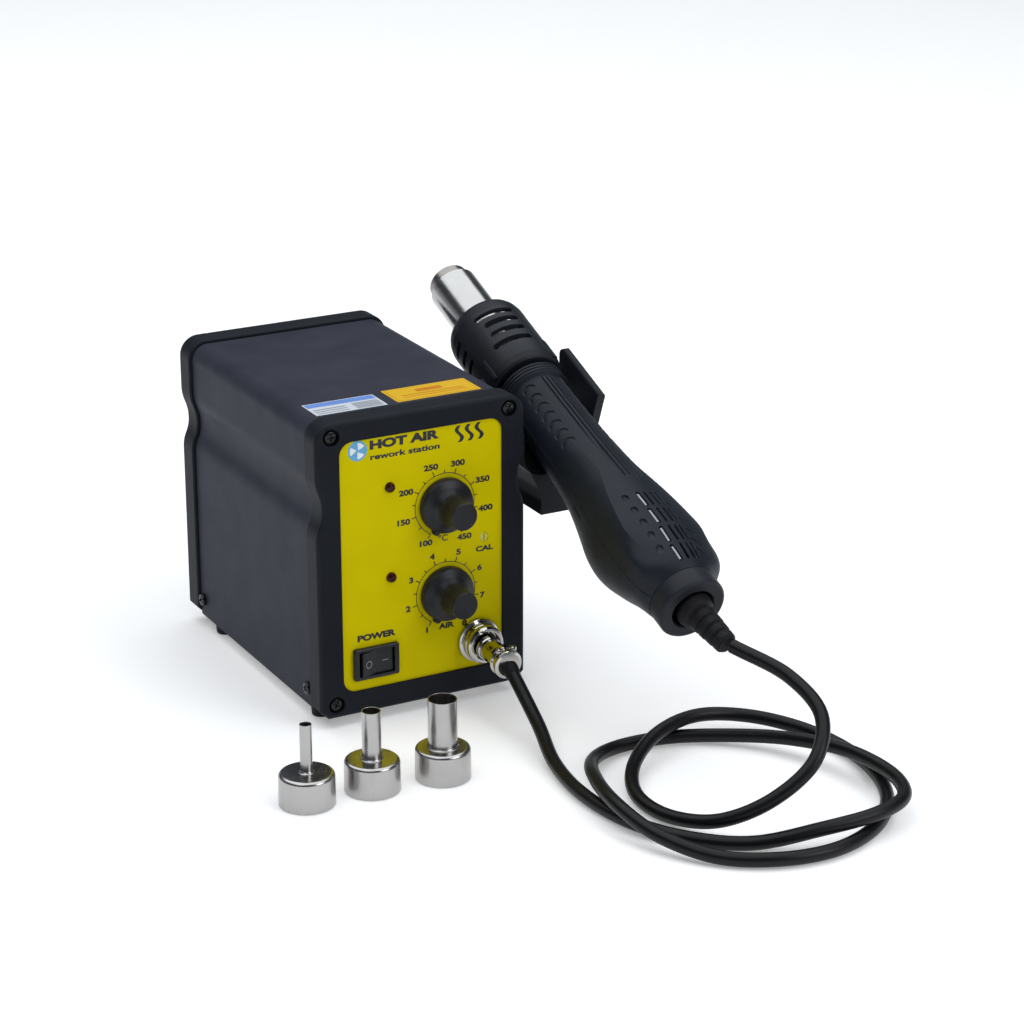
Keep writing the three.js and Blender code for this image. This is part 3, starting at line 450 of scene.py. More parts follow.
CORNERS = [(-42.3, 10.7), (42.3, 10.7), (-42.3, 132.9), (42.3, 132.9)]
WINDOW = (-38.75, 38.75, 15.5, 129.7)
BEZEL_DEPTH = 12


def bezier(a, b, c, d, steps):
    out = []
    for k in range(steps + 1):
        t = k / steps
        u = 1 - t
        weights = (u ** 3, 3 * u * u * t, 3 * u * t * t, t ** 3)
        out.append(tuple(sum(w * p[i] for w, p in zip(weights, (a, b, c, d))) for i in (0, 1)))
    return out


# The case's end view drawn inwards by an inset, from the bottom right corner round to the left.
def case_outline(inset, cut):
    half = 50 - inset
    waist = half - 3
    top = 139.1 - inset
    bottom = 4.5 + inset
    slant = cut - 0.586 * inset if cut else 0.02
    r = 9 - inset
    right = [(half - slant, bottom), (half, bottom + slant)]
    right += bezier((half, 86), (half, 93), (waist, 93), (waist, 100), 12)
    right += bezier((waist, 100), (waist, 108), (half, 108), (half, 116), 12)[1:]
    for k in range(13):
        a = math.pi / 2 * k / 12
        right.append((half - r + r * math.cos(a), top - r + r * math.sin(a)))
    return right + [(-x, z) for x, z in reversed(right)]


def window(grow):
    x0, x1, z0, z1 = WINDOW
    return rectangle(x0 - grow, x1 + grow, z0 - grow, z1 + grow, 6 + grow, 10)


# A hollow frame with its bottom corners cut, rounded rims and four screw seats.
def bezel(cut):
    front, rear, lip = 1.8, 1.0, 0.45
    turn = quarter_turn(6)
    rows = [standing(case_outline(front * (1 - math.sin(a)), cut), front * (1 - math.cos(a))) for a in turn]
    for a in turn:
        y = BEZEL_DEPTH - rear * (1 - math.sin(a))
        rows.append(standing(case_outline(rear * (1 - math.cos(a)), cut), y))
    inner = [standing(window(lip * (1 - math.sin(a))), lip * (1 - math.cos(a))) for a in turn]
    inner += [standing(window(0), 0.6), standing(window(2), 0.6), standing(window(2), BEZEL_DEPTH)]
    whole = joined(skin(rows), skin(inner))
    mouths = []
    for x, z in CORNERS:
        seat = [standing(circle(x, z, 3.75 + lip * (1 - math.sin(a))), lip * (1 - math.cos(a))) for a in turn]
        seat += [standing(circle(x, z, 3.75), 2.6), standing(circle(x, z, 1.75), 2.6)]
        seat += [standing(circle(x, z, 1.75), BEZEL_DEPTH)]
        whole.join(skin(seat))
        mouths.append(seat[0])
    whole.join(plate(rows[0], inner[0], *mouths))
    return whole.join(plate(rows[-1], inner[-1]))


make("front_frame", bezel(4.0), UNIT, "station", [MOULDED], ["front_bezel"])
make("rear_frame", bezel(4.5), FACING_BACK, "station", [MOULDED], ["rear_bezel"])


# Folded sheet, open below, between the two frames.
def cover():
    outside = case_outline(1.6, 0)[1:-1]
    inside = case_outline(2.8, 0)[1:-1]
    section = outside + inside[::-1]
    return capped([standing(section, y) for y in (12.3, 12.5, 136.5, 136.7)])


make("cover_sheet", cover(), UNIT, "station", [COVER], ["top_cover"], sharp=40)


# Pan head with a cross recess; its face is at y = 0.
def screw(length, head=2.85):
    body = turned([(0, -0.1), (head * 0.45, -0.05), (head - 0.2, 0.25, 0.5), (head, 0.9, 0.3), (head, 1.7),
                   (1.35, 1.7), (1.35, length - 0.6), (0.8, length), (0, length)], "Y", 48)
    long, narrow, deep = (-1.75, 1.75), (-0.36, 0.36), (-1, 0.85)
    arms = [block(long, deep, narrow, 0.1), block(narrow, deep, long, 0.1)]
    centre = turned([(0, -1), (0.85, -1), (0.85, 0.2), (0, 1.5)], "Y", 12)
    return carve(body, [*arms, centre])


def bolt(side, number, shape, at):
    make(f"{side}_bolt_{number}", shape, at, "station", [SCREW_BLACK],
         [f"{side}_screw_{number}"])


case_screw = screw(15)
short_screw = screw(7)
for i, (x, z) in enumerate(CORNERS, 1):
    turn = spin(31 * i - 6, "Y")
    bolt("front", i, case_screw, UNIT @ shift(x, 0.6, z) @ turn)
    bolt("rear", i, case_screw, FACING_BACK @ shift(-x, 0.6, z) @ turn)
for i, (side, y) in enumerate([(-1, 15.8), (-1, 133.2), (1, 15.8), (1, 133.2)], 1):
    at = UNIT @ shift(side * 50.4, y, 14.4) @ Matrix.Rotation(side * math.pi / 2, 4, "Z")
    bolt("side", i, short_screw, at @ spin(40 * i - 20, "Y"))

foot = turned([(0, 1.6), (1.6, 1.6), (1.6, 0.1, 0.1), (2.6, 0, 0.3), (4.4, 0, 0.7), (4.9, 7.4, 0.1),
               (0, 7.4)])
for i, (x, y) in enumerate([(-41.8, 17.6), (-41.8, 124), (41.8, 17.6), (41.8, 124)]):
    make(f"rubber_foot_{i + 1}", foot, UNIT @ shift(x, y, 0), "station", [RUBBER],
         [f"foot_{i + 1}"])

# ---- panels

FACE = 0.9
PANEL_THICKNESS = 1.5


def panel(holes):
    x0, x1, z0, z1 = WINDOW
    rim = rectangle(x0 - 1.6, x1 + 1.6, z0 - 1.6, z1 + 1.6, 7.6, 10)
    levels = (FACE, FACE + PANEL_THICKNESS)
    whole = joined(*[plate(standing(rim, y), *[standing(h, y) for h in holes]) for y in levels])
    for loop in (rim, *holes):
        whole.join(skin([standing(loop, y) for y in levels]))
    return whole


TEMPERATURE = (11.1, 94)
AIR = (11.2, 53.1)
HEATER_LED = (-15.3, 106.4)
FAN_LED = (-15.2, 65.2)
CAL = (30.2, 75.5)
SWITCH = (-23.3, 27.7)
SOCKET = (26.8, 28)

front_holes = [circle(*centre, r, 48) for centre, r in [
    (TEMPERATURE, 3.9), (AIR, 3.9), (HEATER_LED, 2.65), (FAN_LED, 2.65), (CAL, 2.1), (SOCKET, 7.5)]]
front_holes.append(rectangle(SWITCH[0] - 9.8, SWITCH[0] + 9.8, SWITCH[1] - 6.75, SWITCH[1] + 6.75, 0.3, 2))
make("front_plate", panel(front_holes), UNIT, "station", [YELLOW], ["front_panel"])

rear_holes = []
for i in range(6):
    x = 30.6 - 5.6 * i
    rear_holes.append(rectangle(x, x + 2.4, 24, 56, 1.15, 4))
rear_holes.append(rectangle(-31, -5, 20, 52, 1, 3))
make("rear_plate", panel(rear_holes), FACING_BACK, "station", [MOULDED], ["rear_panel"])


# Scale round a dial: an arc, ticks with a half tick between each two, and a number at each tick.
TICKS = [-150, -104, -61, -20, 20, 61, 104, 150]
LONG_NUMBERS = [(-9.2, -16.3), (-19.8, -4.9), (-18.5, 8.5), (-6.5, 17.9), (6.5, 17.9), (18.5, 8.5),
                (19.8, -4.9), (9.4, -16.4)]
SHORT_NUMBERS = [(-9.3, -16.0), (-18.3, -4.4), (-16.7, 8.7), (-6.4, 17.8), (6.4, 17.8), (16.7, 8.7),
                 (18.1, -4.5), (9.1, -16.0)]


def scale_of(centre, numbers, places, part):
    x, z = centre
    part.join(arc_band(x, z, 14.3, 0.36, TICKS[0], TICKS[-1]))
    halves = [(a + b) / 2 for a, b in zip(TICKS, TICKS[1:])]
    for degrees in TICKS + halves:
        angle = math.radians(degrees)
        reach = 16.6 if degrees in TICKS else 15.8
        ray = Vector((math.sin(angle), math.cos(angle)))
        part.join(stroke(Vector(centre) + ray * 14.2, Vector(centre) + ray * reach, 0.48))
    for (across, up), number in zip(places, numbers):
        part.join(words(number, x + across, z + up, 2.8, 0.05, stretch=1.3))


ink = Part()
scale_of(TEMPERATURE, ["100", "150", "200", "250", "300", "350", "400", "450"], LONG_NUMBERS, ink)
scale_of(AIR, ["1", "2", "3", "4", "5", "6", "7", "8"], SHORT_NUMBERS, ink)
for text, x, z, height, weight, width in [
    ("°C", 10.1, 78.7, 3.0, 0.02, 4.6), ("AIR", 11.4, 37.6, 2.7, 0.055, 7.8),
    ("CAL", 30.4, 70.4, 2.6, 0.055, 8.6), ("POWER", -22.5, 39.4, 3.1, 0.06, 18.4),
    ("HOT AIR", -7.8, 126.6, 4.2, 0.06, 33), ("rework station", -7.6, 121.2, 2.7, 0.035, 33),
]:
    ink.join(words(text, x, z, height, weight, width))
for i in range(3):
    x = 18.4 + 4.8 * i
    line = [(x + 1.3 * math.sin(k * math.pi / 8), 121.2 + k * 0.47) for k in range(17)]
    left = [(px - 0.95, 0, pz) for px, pz in line]
    right = [(px + 0.95, 0, pz) for px, pz in line]
    ink.join(skin([left, right], False))
make("panel_print", ink, UNIT @ shift(0, FACE - 0.04, 0), "station", [INK_AND_HOLE_SHADE])

emblem = Part().join(plate(standing(circle(0, 0, 4.5), 0)))
for i in range(3):
    turns = [math.radians(120 * i + 62 * k / 8) for k in range(9)]
    blade = [(3.6 * math.sin(a), 3.6 * math.cos(a)) for a in turns]
    blade.append((0.5 * math.sin(turns[-1]), 0.5 * math.cos(turns[-1])))
    emblem.join(plate(standing(blade, -0.03)), tint=1)
make("panel_emblem", emblem, UNIT @ shift(-30, FACE - 0.05, 125), "station",
     [BLUE_INK, WHITE_INK])


# A skirted dial with a small stop at its rim and a black disc on its grip, painted shade standing for a small
# hole.
def knob():
    body = turned([
        (0, -18), (6.2, -18, 0.7), (6.2, -9.2, 1), (6.8, -6.8, 2), (8.9, -4.5, 3), (11.9, -3.1, 0.8),
        (12.4, -2.0, 0.5), (12.4, 0.3), (3.3, 0.3), (3.3, -10), (0, -10),
    ], "Y", 128)
    nub = turned([(0, -2.9), (1.2, -2.75, 0.6), (1.6, -1.6, 0.4), (1.6, 0.3), (0, 0.3)], "Y", 24)
    # Painted shade: a thin black disc on the grip where a small hole would be dark.
    hole = turned([(0, 0), (0.75, 0), (0.75, -0.02), (0, -0.02)], "Z", 24)
    body.join(nub, shift(0, 0, 12.4))
    return body.join(hole, shift(0, -14.2, 6.23) @ spin(180, "X"), 1)


REST = spin(-155, "Y")
for name, centre, body in [("temperature", TEMPERATURE, "temperature_dial"), ("air", AIR, "air_dial")]:
    at = UNIT @ shift(centre[0], 0, centre[1]) @ REST
    make(f"{name}_dial_cap", knob(), at, body, [KNOB_BLACK, INK_AND_HOLE_SHADE], [f"{name}_knob"])

lens = turned([(0, -1.5), (1.2, -1.42), (2.0, -0.75), (2.3, 0.3), (2.35, 2.7), (2.9, 2.7), (2.9, 3.7),
               (2.35, 3.7), (2.35, 13.9), (0, 13.9)], "Y", 48)
collar = turned([(2.36, 0.95), (2.36, 0.6), (2.75, 0.6, 0.1), (2.9, 0.9)], "Y", 48)
for name, centre in [("heater", HEATER_LED), ("fan", FAN_LED)]:
    lamp = Part().join(lens).join(collar, tint=1)
    make(f"{name}_lamp", lamp, UNIT @ shift(centre[0], 0, centre[1]), "station",
         [LENS_RED, YELLOW], [f"{name}_led"])

adjuster = carve(turned([(0, 1.0), (1.95, 1.0, 0.2), (1.95, 4), (3, 4), (3, 9), (0, 9)], "Y", 40),
                 [block((-0.35, 0.35), (0, 1.7), (-1.4, 1.4), 0.05)])
make("cal_screw", adjuster, UNIT @ shift(CAL[0], 0, CAL[1]), "cal_adjuster", [CAL_YELLOW],
     ["cal_trimmer"])

# ---- power switch


def switch_frame():
    def rim(inset):
        return rectangle(-10.8 + inset, 10.8 - inset, -7.35 + inset, 7.35 - inset, 1.0 - min(inset, 0.9), 4)

    cavity = rectangle(-8.5, 8.5, -5.75, 5.75, 0.4, 4)
    rows = [standing(rim(0.6 * (1 - math.sin(a))), -1.2 + 0.6 * (1 - math.cos(a))) for a in quarter_turn(4)]
    rows.append(standing(rim(0), 0.6))
    inner = [standing(cavity, y) for y in (-1.2, 12)]
    body = rectangle(-9.5, 9.5, -6.45, 6.45, 0.3, 4)
    back = [standing(body, y) for y in (0.6, 20)]
    return joined(skin(rows), plate(rows[0], inner[0]), skin(inner), plate(inner[-1]),
                  plate(rows[-1], back[0]), skin(back), plate(back[-1]))


def rocker():
    outline = [(-8, -3.16, 0.4), (0, -2, 6), (8, -3.16, 0.4), (7.7, -1, 0.3), (4.4, 2.6, 0.5),
               (-4.4, 2.6, 0.5), (-7.7, -1, 0.3)]
    line = soften(outline, True, 4)
    rows = []
    for z, scale in [(-5.4, 0.96), (-5.2, 0.99), (-4.9, 1), (4.9, 1), (5.2, 0.99), (5.4, 0.96)]:
        rows.append([(x * scale, -2 + (y + 2) * scale, z) for x, y in line])
    whole = capped(rows)
    slope = math.atan2(1.16, 8)
    left = shift(-4.6, -2.76, 0) @ Matrix.Rotation(slope, 4, "Z")
    right = shift(4, -2.68, 0) @ Matrix.Rotation(-slope, 4, "Z")
    whole.join(arc_band(0, -0.3, 1.55, 0.3, 0, 360), left, 1)
    return whole.join(stroke((-1.5, 0), (1.5, 0), 0.26), right, 1)


make("switch_frame", switch_frame(), UNIT @ shift(SWITCH[0], 0, SWITCH[1]), "station",
     [ROCKER_BLACK], ["switch_housing"])
tipped = UNIT @ shift(SWITCH[0], 2, SWITCH[1]) @ spin(9, "Z")
make("switch_rocker", rocker(), tipped, "rocker", [ROCKER_BLACK, GREY_INK], ["power_rocker"])

# ---- handpiece connector

AT_SOCKET = UNIT @ shift(SOCKET[0], 0, SOCKET[1])
PLUG = AT_SOCKET @ spin(3.3, "X")


def chrome(name, part, at, node, body="station"):
    return make(name, part, at, body, [CHROME], [node])


socket = turned([(0, -3), (5.8, -3, 0.1), (5.8, -6, 0.2), (7.1, -6, 0.2), (7.1, 2.7), (10, 2.7, 0.2),
                 (10, 4.7, 0.2), (6.5, 4.7), (6.5, 14), (0, 14)], "Y", 64)
chrome("socket_shell", socket, AT_SOCKET, "socket_body")
nut = turned([(7.4, 0.6), (7.4, -1.7, 0.2), (8.6, -1.7, 0.3), (9.2, -1.3, 0.3), (10, -1.0, 0.4),
              (10, 0.6, 0.1)], "Y", 96, True)
chrome("socket_flange", nut, AT_SOCKET, "socket_nut")
ring = turned([(7.4, -1.9), (8.2, -1.9, 0.2), (8.7, -2.4, 0.3), (8.7, -4.3, 0.3), (8.3, -4.7, 0.2),
               (8.7, -5.1, 0.3), (8.7, -7.2, 0.6), (7.9, -8.4, 0.5), (6.6, -8.4, 0.2), (6.6, -7.4),
               (7.4, -7.4)], "Y", 96, True)
chrome("coupling_nut", ring, AT_SOCKET, "plug_ring", "coupling_ring")
shell = turned([(0, -6.4), (5.8, -6.4), (5.8, -8.9, 0.4), (5.6, -9.5, 0.3), (5.6, -10.4, 0.3),
                (5.1, -11, 0.5), (5.3, -18.4, 0.5), (5.5, -20.2, 0.3), (0, -20.2)], "Y", 64)
plug_body = chrome("plug_barrel", shell, PLUG, "plug_shell")
saddle = turned([(0, -20.5), (5.9, -20.5, 0.5), (6.6, -21.2, 0.6), (6.6, -23.4, 0.6), (5.7, -24.3, 0.5),
                 (5.7, -26, 0.4), (6.6, -26.7, 0.4), (6.6, -27.9, 0.5), (5.2, -28.4, 0.3),
                 (0, -28.4)], "Y", 64)
head = screw(2.4, 1.6)
for side in (-1, 1):
    saddle.join(head, shift(side * 3.4, -25.2, 7.3) @ spin(-90, "X"))
plug_saddle = chrome("plug_saddle", saddle, PLUG, "plug_clamp")

# ---- loose lead


# Points along a centripetal Catmull-Rom spline through the corners, ends extrapolated.
def spline(corners, steps):
    p = [Vector(c) for c in corners]
    p = [p[0] * 2 - p[1], *p, p[-1] * 2 - p[-2]]
    out = []
    for i in range(1, len(p) - 2):
        k = [0.0]
        for j in range(3):
            k.append(k[-1] + math.sqrt((p[i + j] - p[i + j - 1]).length))
        for s in range(steps):
            t = k[1] + (k[2] - k[1]) * s / steps
            a1 = (p[i - 1] * (k[1] - t) + p[i] * (t - k[0])) / (k[1] - k[0])
            a2 = (p[i] * (k[2] - t) + p[i + 1] * (t - k[1])) / (k[2] - k[1])
            a3 = (p[i + 1] * (k[3] - t) + p[i + 2] * (t - k[2])) / (k[3] - k[2])
            b1 = (a1 * (k[2] - t) + a2 * (t - k[0])) / (k[2] - k[0])
            b2 = (a2 * (k[3] - t) + a3 * (t - k[1])) / (k[3] - k[1])
            out.append((b1 * (k[2] - t) + b2 * (t - k[1])) / (k[2] - k[1]))
    return out + [p[-2]]


# From the plug, in two loose loops on the surface, up to the handpiece; metres from the case front.
LEAD_ROUTE = [
    (0.0275, -0.030, 0.0235), (0.0255, -0.057, 0.010), (0.019, -0.083, 0.0042), (0.0155, -0.1135, 0.0032),
    (0.0195, -0.1435, 0.0032), (0.0315, -0.1665, 0.0031), (0.052, -0.1845, 0.0036), (0.078, -0.1945, 0.008),
    (0.104, -0.197, 0.0102), (0.121, -0.190, 0.0104), (0.129, -0.173, 0.0104), (0.127, -0.1435, 0.0102),
    (0.1155, -0.1145, 0.007), (0.098, -0.095, 0.0044), (0.074, -0.0825, 0.0036), (0.050, -0.081, 0.0036),
    (0.0325, -0.092, 0.006), (0.021, -0.114, 0.0094), (0.0155, -0.1415, 0.0102), (0.020, -0.1665, 0.0065),
    (0.034, -0.188, 0.0034), (0.0545, -0.201, 0.0033), (0.079, -0.204, 0.0031), (0.103, -0.1955, 0.0031),
    (0.1225, -0.177, 0.0031), (0.133, -0.1535, 0.0033), (0.1355, -0.125, 0.0033), (0.1275, -0.102, 0.005),
    (0.111, -0.087, 0.0078), (0.0895, -0.082, 0.0104), (0.065, -0.0895, 0.010), (0.0445, -0.105, 0.006),
    (0.034, -0.1255, 0.0037), (0.0355, -0.148, 0.0036), (0.0465, -0.168, 0.0075), (0.0635, -0.1805, 0.018),
    (0.082, -0.1825, 0.032), (0.0925, -0.171, 0.0445), (0.0916, -0.149, 0.0534), (0.0808, -0.122, 0.0593),
]
LEAD_R = 0.003


# A round tube along a line, with its rings turned as little as possible from one to the next.
def tube(line, radius, sides):
    ahead = (line[1] - line[0]).normalized()
    side = ahead.orthogonal().normalized()
    rows = []
    for i, point in enumerate(line):
        along = (line[min(i + 1, len(line) - 1)] - line[max(i - 1, 0)]).normalized()
        side = (side - along * side.dot(along)).normalized()
        other = along.cross(side)
        rows.append([point + (side * math.cos(a) + other * math.sin(a)) * radius for a in full_turn(sides)])
    return capped(rows)


route = [CASE_FRONT + point for point in spline(LEAD_ROUTE, 16)]
lead = make("lead_sleeve", tube(route, LEAD_R, 32), Matrix.Identity(4), None, [LEAD_PVC],
            ["cable"])
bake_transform(lead)
leaving = (route[2] - route[0]).to_track_quat("Z", "Y").to_matrix().to_4x4()
boot = turned([(0, -4), (3.5, -4, 0.2), (3.5, 0.4, 0.3), (3.3, 1.6, 0.3), (3.02, 1.9), (0, 1.9)], "Z", 48)
at_plug = Matrix.Translation(route[0]) @ leaving @ Matrix.Scale(0.001, 4)
plug_boot = make("plug_boot", boot, at_plug, "station", [RUBBER])

# ---- handpiece

# Handle sections: distance from the tip, height of the top, depth of the belly, half width, level of
# the widest line, and half width and height of the shoulder crease.
SECTIONS = np.array([
    [93.6, 14.8, 14.8, 14.8, 0, 10.5, 10.5], [110, 15.1, 15.1, 15.1, 0, 10.7, 10.7],
    [126, 15.5, 15.7, 15.5, 0, 11, 11], [142, 16, 16.8, 15.8, 0, 10.6, 12.5],
    [154, 16.5, 18.6, 16.2, 0, 10.2, 14], [162, 16.9, 21.3, 17, 1, 10.5, 14.9],
    [170, 17.3, 25, 17.8, 2, 12.8, 14.9], [178, 17.7, 28.2, 19, 3, 15, 14.8],
    [186, 18.1, 29, 20, 4, 16.8, 14.7], [194, 18.4, 27.6, 20.8, 5, 18.3, 14.5],
    [202, 18.5, 24.8, 21.4, 6, 19.2, 14.4], [210, 18.2, 21.6, 21.8, 7, 17.9, 14.3],
    [218, 17.7, 18.2, 21.4, 8, 14.9, 14.4], [224, 16.9, 16.4, 19.6, 6, 11.8, 14.4],
    [229, 15.6, 15.4, 15.6, 0, 9, 12.7],
])


# Section at a distance from the tip, by a cubic through the neighbouring ones.
def section_at(s):
    if s <= SECTIONS[0, 0]:
        rim = 16.45 - 1.65 * max(s - 92.6, 0)
        return np.array([s, rim, rim, rim, 0, rim * 0.709, rim * 0.709])
    i = min(int(np.searchsorted(SECTIONS[:, 0], s)) - 1, len(SECTIONS) - 2)
    i = max(i, 0)
    a, b = SECTIONS[i], SECTIONS[i + 1]
    before = SECTIONS[max(i - 1, 0)]
    after = SECTIONS[min(i + 2, len(SECTIONS) - 1)]
    span = b[0] - a[0]
    t = (s - a[0]) / span
    slope_a = (b - before) / max(b[0] - before[0], 1e-9) * span
    slope_b = (after - a) / max(after[0] - a[0], 1e-9) * span
    row = (2 * t ** 3 - 3 * t ** 2 + 1) * a + (t ** 3 - 2 * t ** 2 + t) * slope_a
    row += (3 * t ** 2 - 2 * t ** 3) * b + (t ** 3 - t ** 2) * slope_b
    row[0] = s
    return row


def ellipse(across, up, centre, cos, sin):
    a = (cos / across) ** 2 + (sin / up) ** 2
    b = -2 * centre * sin / up ** 2
    return (-b + math.sqrt(b * b - 4 * a * ((centre / up) ** 2 - 1))) / (2 * a)


def handle_radius(row, angle):
    _, top, belly, half, widest, crease_x, crease_y = row
    cos, sin = math.cos(angle), math.sin(angle)
    if sin > 0 and abs(cos) <= math.cos(math.atan2(crease_y, crease_x)):
        sag = top - crease_y
        dome = (crease_x ** 2 + sag ** 2) / (2 * sag)
        centre = top - dome
        return centre * sin + math.sqrt(dome ** 2 - (centre * cos) ** 2)
    side = (crease_y - widest) / math.sqrt(max(1 - (crease_x / half) ** 2, 0.02))
    low = ellipse(half, widest + belly, widest, cos, sin)
    return low if low * sin <= widest else ellipse(half, side, widest, cos, sin)


def ramp(value, start, end):
    t = min(max((value - start) / (end - start), 0), 1)
    return t * t * (3 - 2 * t)


def fall(value, start, end):
    return 1 - ramp(value, start, end)


# Vent slots in the domed tail: ends as (distance from the tip, across).
SLOTS = []
for start, offsets in [(182.6, (0.3, 3.7, 6.3)), (194, (0.3, 3.7, 6.3)), (205.6, (-0.5, 2.7, 5.2)),
                       (216.4, (-0.9, 2.3, 4.7))]:
    SLOTS += [((start, x), (start + 8, x)) for x in offsets]
SLOTS += [((190, 8.3), (191.8, 9.2)), ((200.6, 8.2), (203.0, 9.5)), ((207.2, 8.2), (209.9, 10.1)),
          ((213, 7.3), (216.9, 10.9)), ((219, 6.6), (224, 11.6))]
LIGHT_SLOTS = [((182.7, -3.1), (190.6, -3.2)), ((194.1, -3.7), (202.1, -3.8)), ((205.9, -4.7), (213.8, -4.9)),
               ((217.2, -5.3), (224.3, -4.8))]
DROPS = [(184.6, -9.8), (193, -10.1), (201.2, -10.3), (209.3, -10.7), (217.4, -10.9)]
GROOVE_STARTS = [96.3 + 6.52 * i for i in range(7)]


def from_segment(s, x, ends):
    (s0, x0), (s1, x1) = ends
    length = (s1 - s0) ** 2 + (x1 - x0) ** 2
    t = min(max(((s - s0) * (s1 - s0) + (x - x0) * (x1 - x0)) / length, 0), 1)
    return math.hypot(s - s0 - t * (s1 - s0), x - x0 - t * (x1 - x0))


# Three grooves round the handle's front end.
def rim_grooves(s):
    return -sum(0.55 * fall(abs(s - at), 0.15, 0.5) for at in (88.2, 90.0, 91.8))


# Height of the top half's surface detail; own is the angle from the top, positive to the right.
def top_relief(s, angle, radius):
    own = 90 - math.degrees(angle)
    x = radius * math.cos(angle)
    if s < 93:
        return rim_grooves(s)
    height = 0.0
    if 94 < s < 146 and 30 < abs(own) < 64:
        for start in GROOVE_STARTS:
            into = s - start - 1.5 * ((abs(own) - 47) / 11) ** 2
            if -0.4 < into < 3.4:
                wall = ramp(into, -0.35, 0.15)
                tail = fall(into, 0.2, 3.0)
                inside = ramp(abs(own), 34, 37) * fall(abs(own), 57, 60)
                height -= 0.5 * wall * tail * inside
    if 93 < s < 172:
        along = ramp(s, 94.5, 96) * fall(s, 168, 171)
        fading = ramp(s, 94.5, 96) * fall(s, 125, 165)
        height += 0.75 * fading * fall(abs(own + 12), 1.6, 4.0)
        for line in (-6, 3, 12, 21):
            height -= 0.75 * along * fall(abs(own - line), 0.8, 2.2)
        height += 0.35 * along * fall(abs(own - 27), 1.0, 2.4)
    if s > 180 and abs(x) < 14:
        for ends in SLOTS:
            height = min(height, -1.5 * fall(from_segment(s, x, ends), 0.35, 0.75))
        for ends in LIGHT_SLOTS:
            height = min(height, -1.1 * fall(from_segment(s, x, ends), 0.7, 1.05))
        for s0, x0 in DROPS:
            tip = from_segment(s, x, ((s0 - 1.0, x0), (s0 + 1.6, x0 - 0.4)))
            depth = 0.8 * fall(tip, 1.1, 1.6) * fall(s, s0 - 1.6, s0 + 2.6)
            height = min(height, -depth)
    return height


def bottom_relief(s, angle, _radius):
    own = 90 - math.degrees(angle)
    if s < 93:
        return rim_grooves(s)
    height = 0.0
    if 163 < s < 172:
        along = ramp(s, 163, 164) * fall(s, 171, 172)
        for side in (-104, -256):
            height -= 0.8 * fall(abs(own - side) / 1.6, 0.4, 1.2) * along
    return height


# One half of the handle's skin, with its edges turned inwards at the seam and the faces deep in its slots
# tinted with painted shadow.
def handle_half(stations, angles, relief):
    rows = []
    deep = []
    last = len(angles) - 1
    for s in stations:
        section = section_at(s)
        row = []
        marks = [False]
        for i, angle in enumerate(angles):
            radius = handle_radius(section, angle)
            seam = 0.35 * max(0, 1 - min(i, last - i) / 2)
            height = relief(s, angle, radius)
            r = radius + height - seam
            row.append((r * math.cos(angle), r * math.sin(angle), s))
            marks.append(height < -0.35 and s > 180 and r * math.cos(angle) > -7)
        first, final = row[0], row[-1]
        row.insert(0, (first[0] * 0.9, first[1] * 0.9, s))
        row.append((final[0] * 0.9, final[1] * 0.9, s))
        rows.append(row)
        deep.append(marks + [False])
    ends = [[(x * 0.86, y * 0.86, s) for x, y, s in row] for row in (rows[0], rows[-1])]
    half = skin([ends[0], *rows, ends[1]], False)
    across = len(rows[0]) - 1
    for j in range(1, len(rows)):
        for i in range(across):
            if deep[j - 1][i] and deep[j][i + 1]:
                half.tints[j * across + i] = 1
    return half


def spaced(*spans):
    out = []
    for start, end, step in spans:
        count = max(1, round((end - start) / step))
        out += [start + (end - start) * k / count for k in range(count)]
    return out + [spans[-1][1]]


SEAM = 0.008
quick = 1


def half_turn(start, steps):
    return [start + SEAM + (math.pi - 2 * SEAM) * k / steps for k in range(steps + 1)]


top_angles = half_turn(0, 300 // quick)
low_angles = half_turn(math.pi, 120)
top_stations = spaced((87, 94, 0.15 * quick), (94, 146, 0.35 * quick), (146, 180, 0.8),
                      (180, 229, 0.28 * quick))
low_stations = spaced((87, 94, 0.15), (94, 229, 1.0))
make("handle_upper_shell", handle_half(top_stations, top_angles, top_relief), GUN, "gun",
     [HANDLE, SLOT_DARK], ["handle_top"], sharp=24)
make("handle_lower_shell", handle_half(low_stations, low_angles, bottom_relief), GUN, "gun",
     [HANDLE], ["handle_bottom"], sharp=50)

# Pale strips just under the surface of the first slot in each vent block, painted light seen inside those
# slots.
strips = Part()
for (s0, x0), (s1, x1) in LIGHT_SLOTS:
    rows = []
    for s, x in [(s0, x0), (s0 + (s1 - s0) / 2, (x0 + x1) / 2), (s1, x1)]:
        row = []
        section = section_at(s)
        for dx in (-0.62, 0.42):
            angle = math.atan2(section[1], x + dx)
            r = handle_radius(section, angle) - 0.5
            row.append((r * math.cos(angle), r * math.sin(angle), s))
        rows.append(row)
    strips.join(skin(rows, False))
make("slot_light_strips", strips, GUN, "gun", [SLOT_LIGHT_PAINT])

tail = turned([(13.8, 228.6), (15.2, 228.6), (15.45, 230), (15.4, 238.6, 1.5), (10.0, 238.6, 0.6),
               (9.4, 237.6, 0.3), (9.4, 235.2), (13.4, 235.2)], "Z", 128, True, 6)
make("tail_cap", tail, GUN, "gun", [GUARD_BLACK], ["tail_ring"])


# A cutter pointing out from the handpiece's axis: a rounded patch, in distance and angle.
def radial_slot(s, width, start, end, inner=12.6, outer=22):
    low, high = math.radians(start), math.radians(end)
    patch = rectangle(s - width / 2, s + width / 2, low * 17, high * 17, width * 0.48, 5)
    rows = []
    for r in (inner, outer):
        rows.append([(r * math.sin(a / 17), r * math.cos(a / 17), z) for z, a in patch])
    return capped(rows)


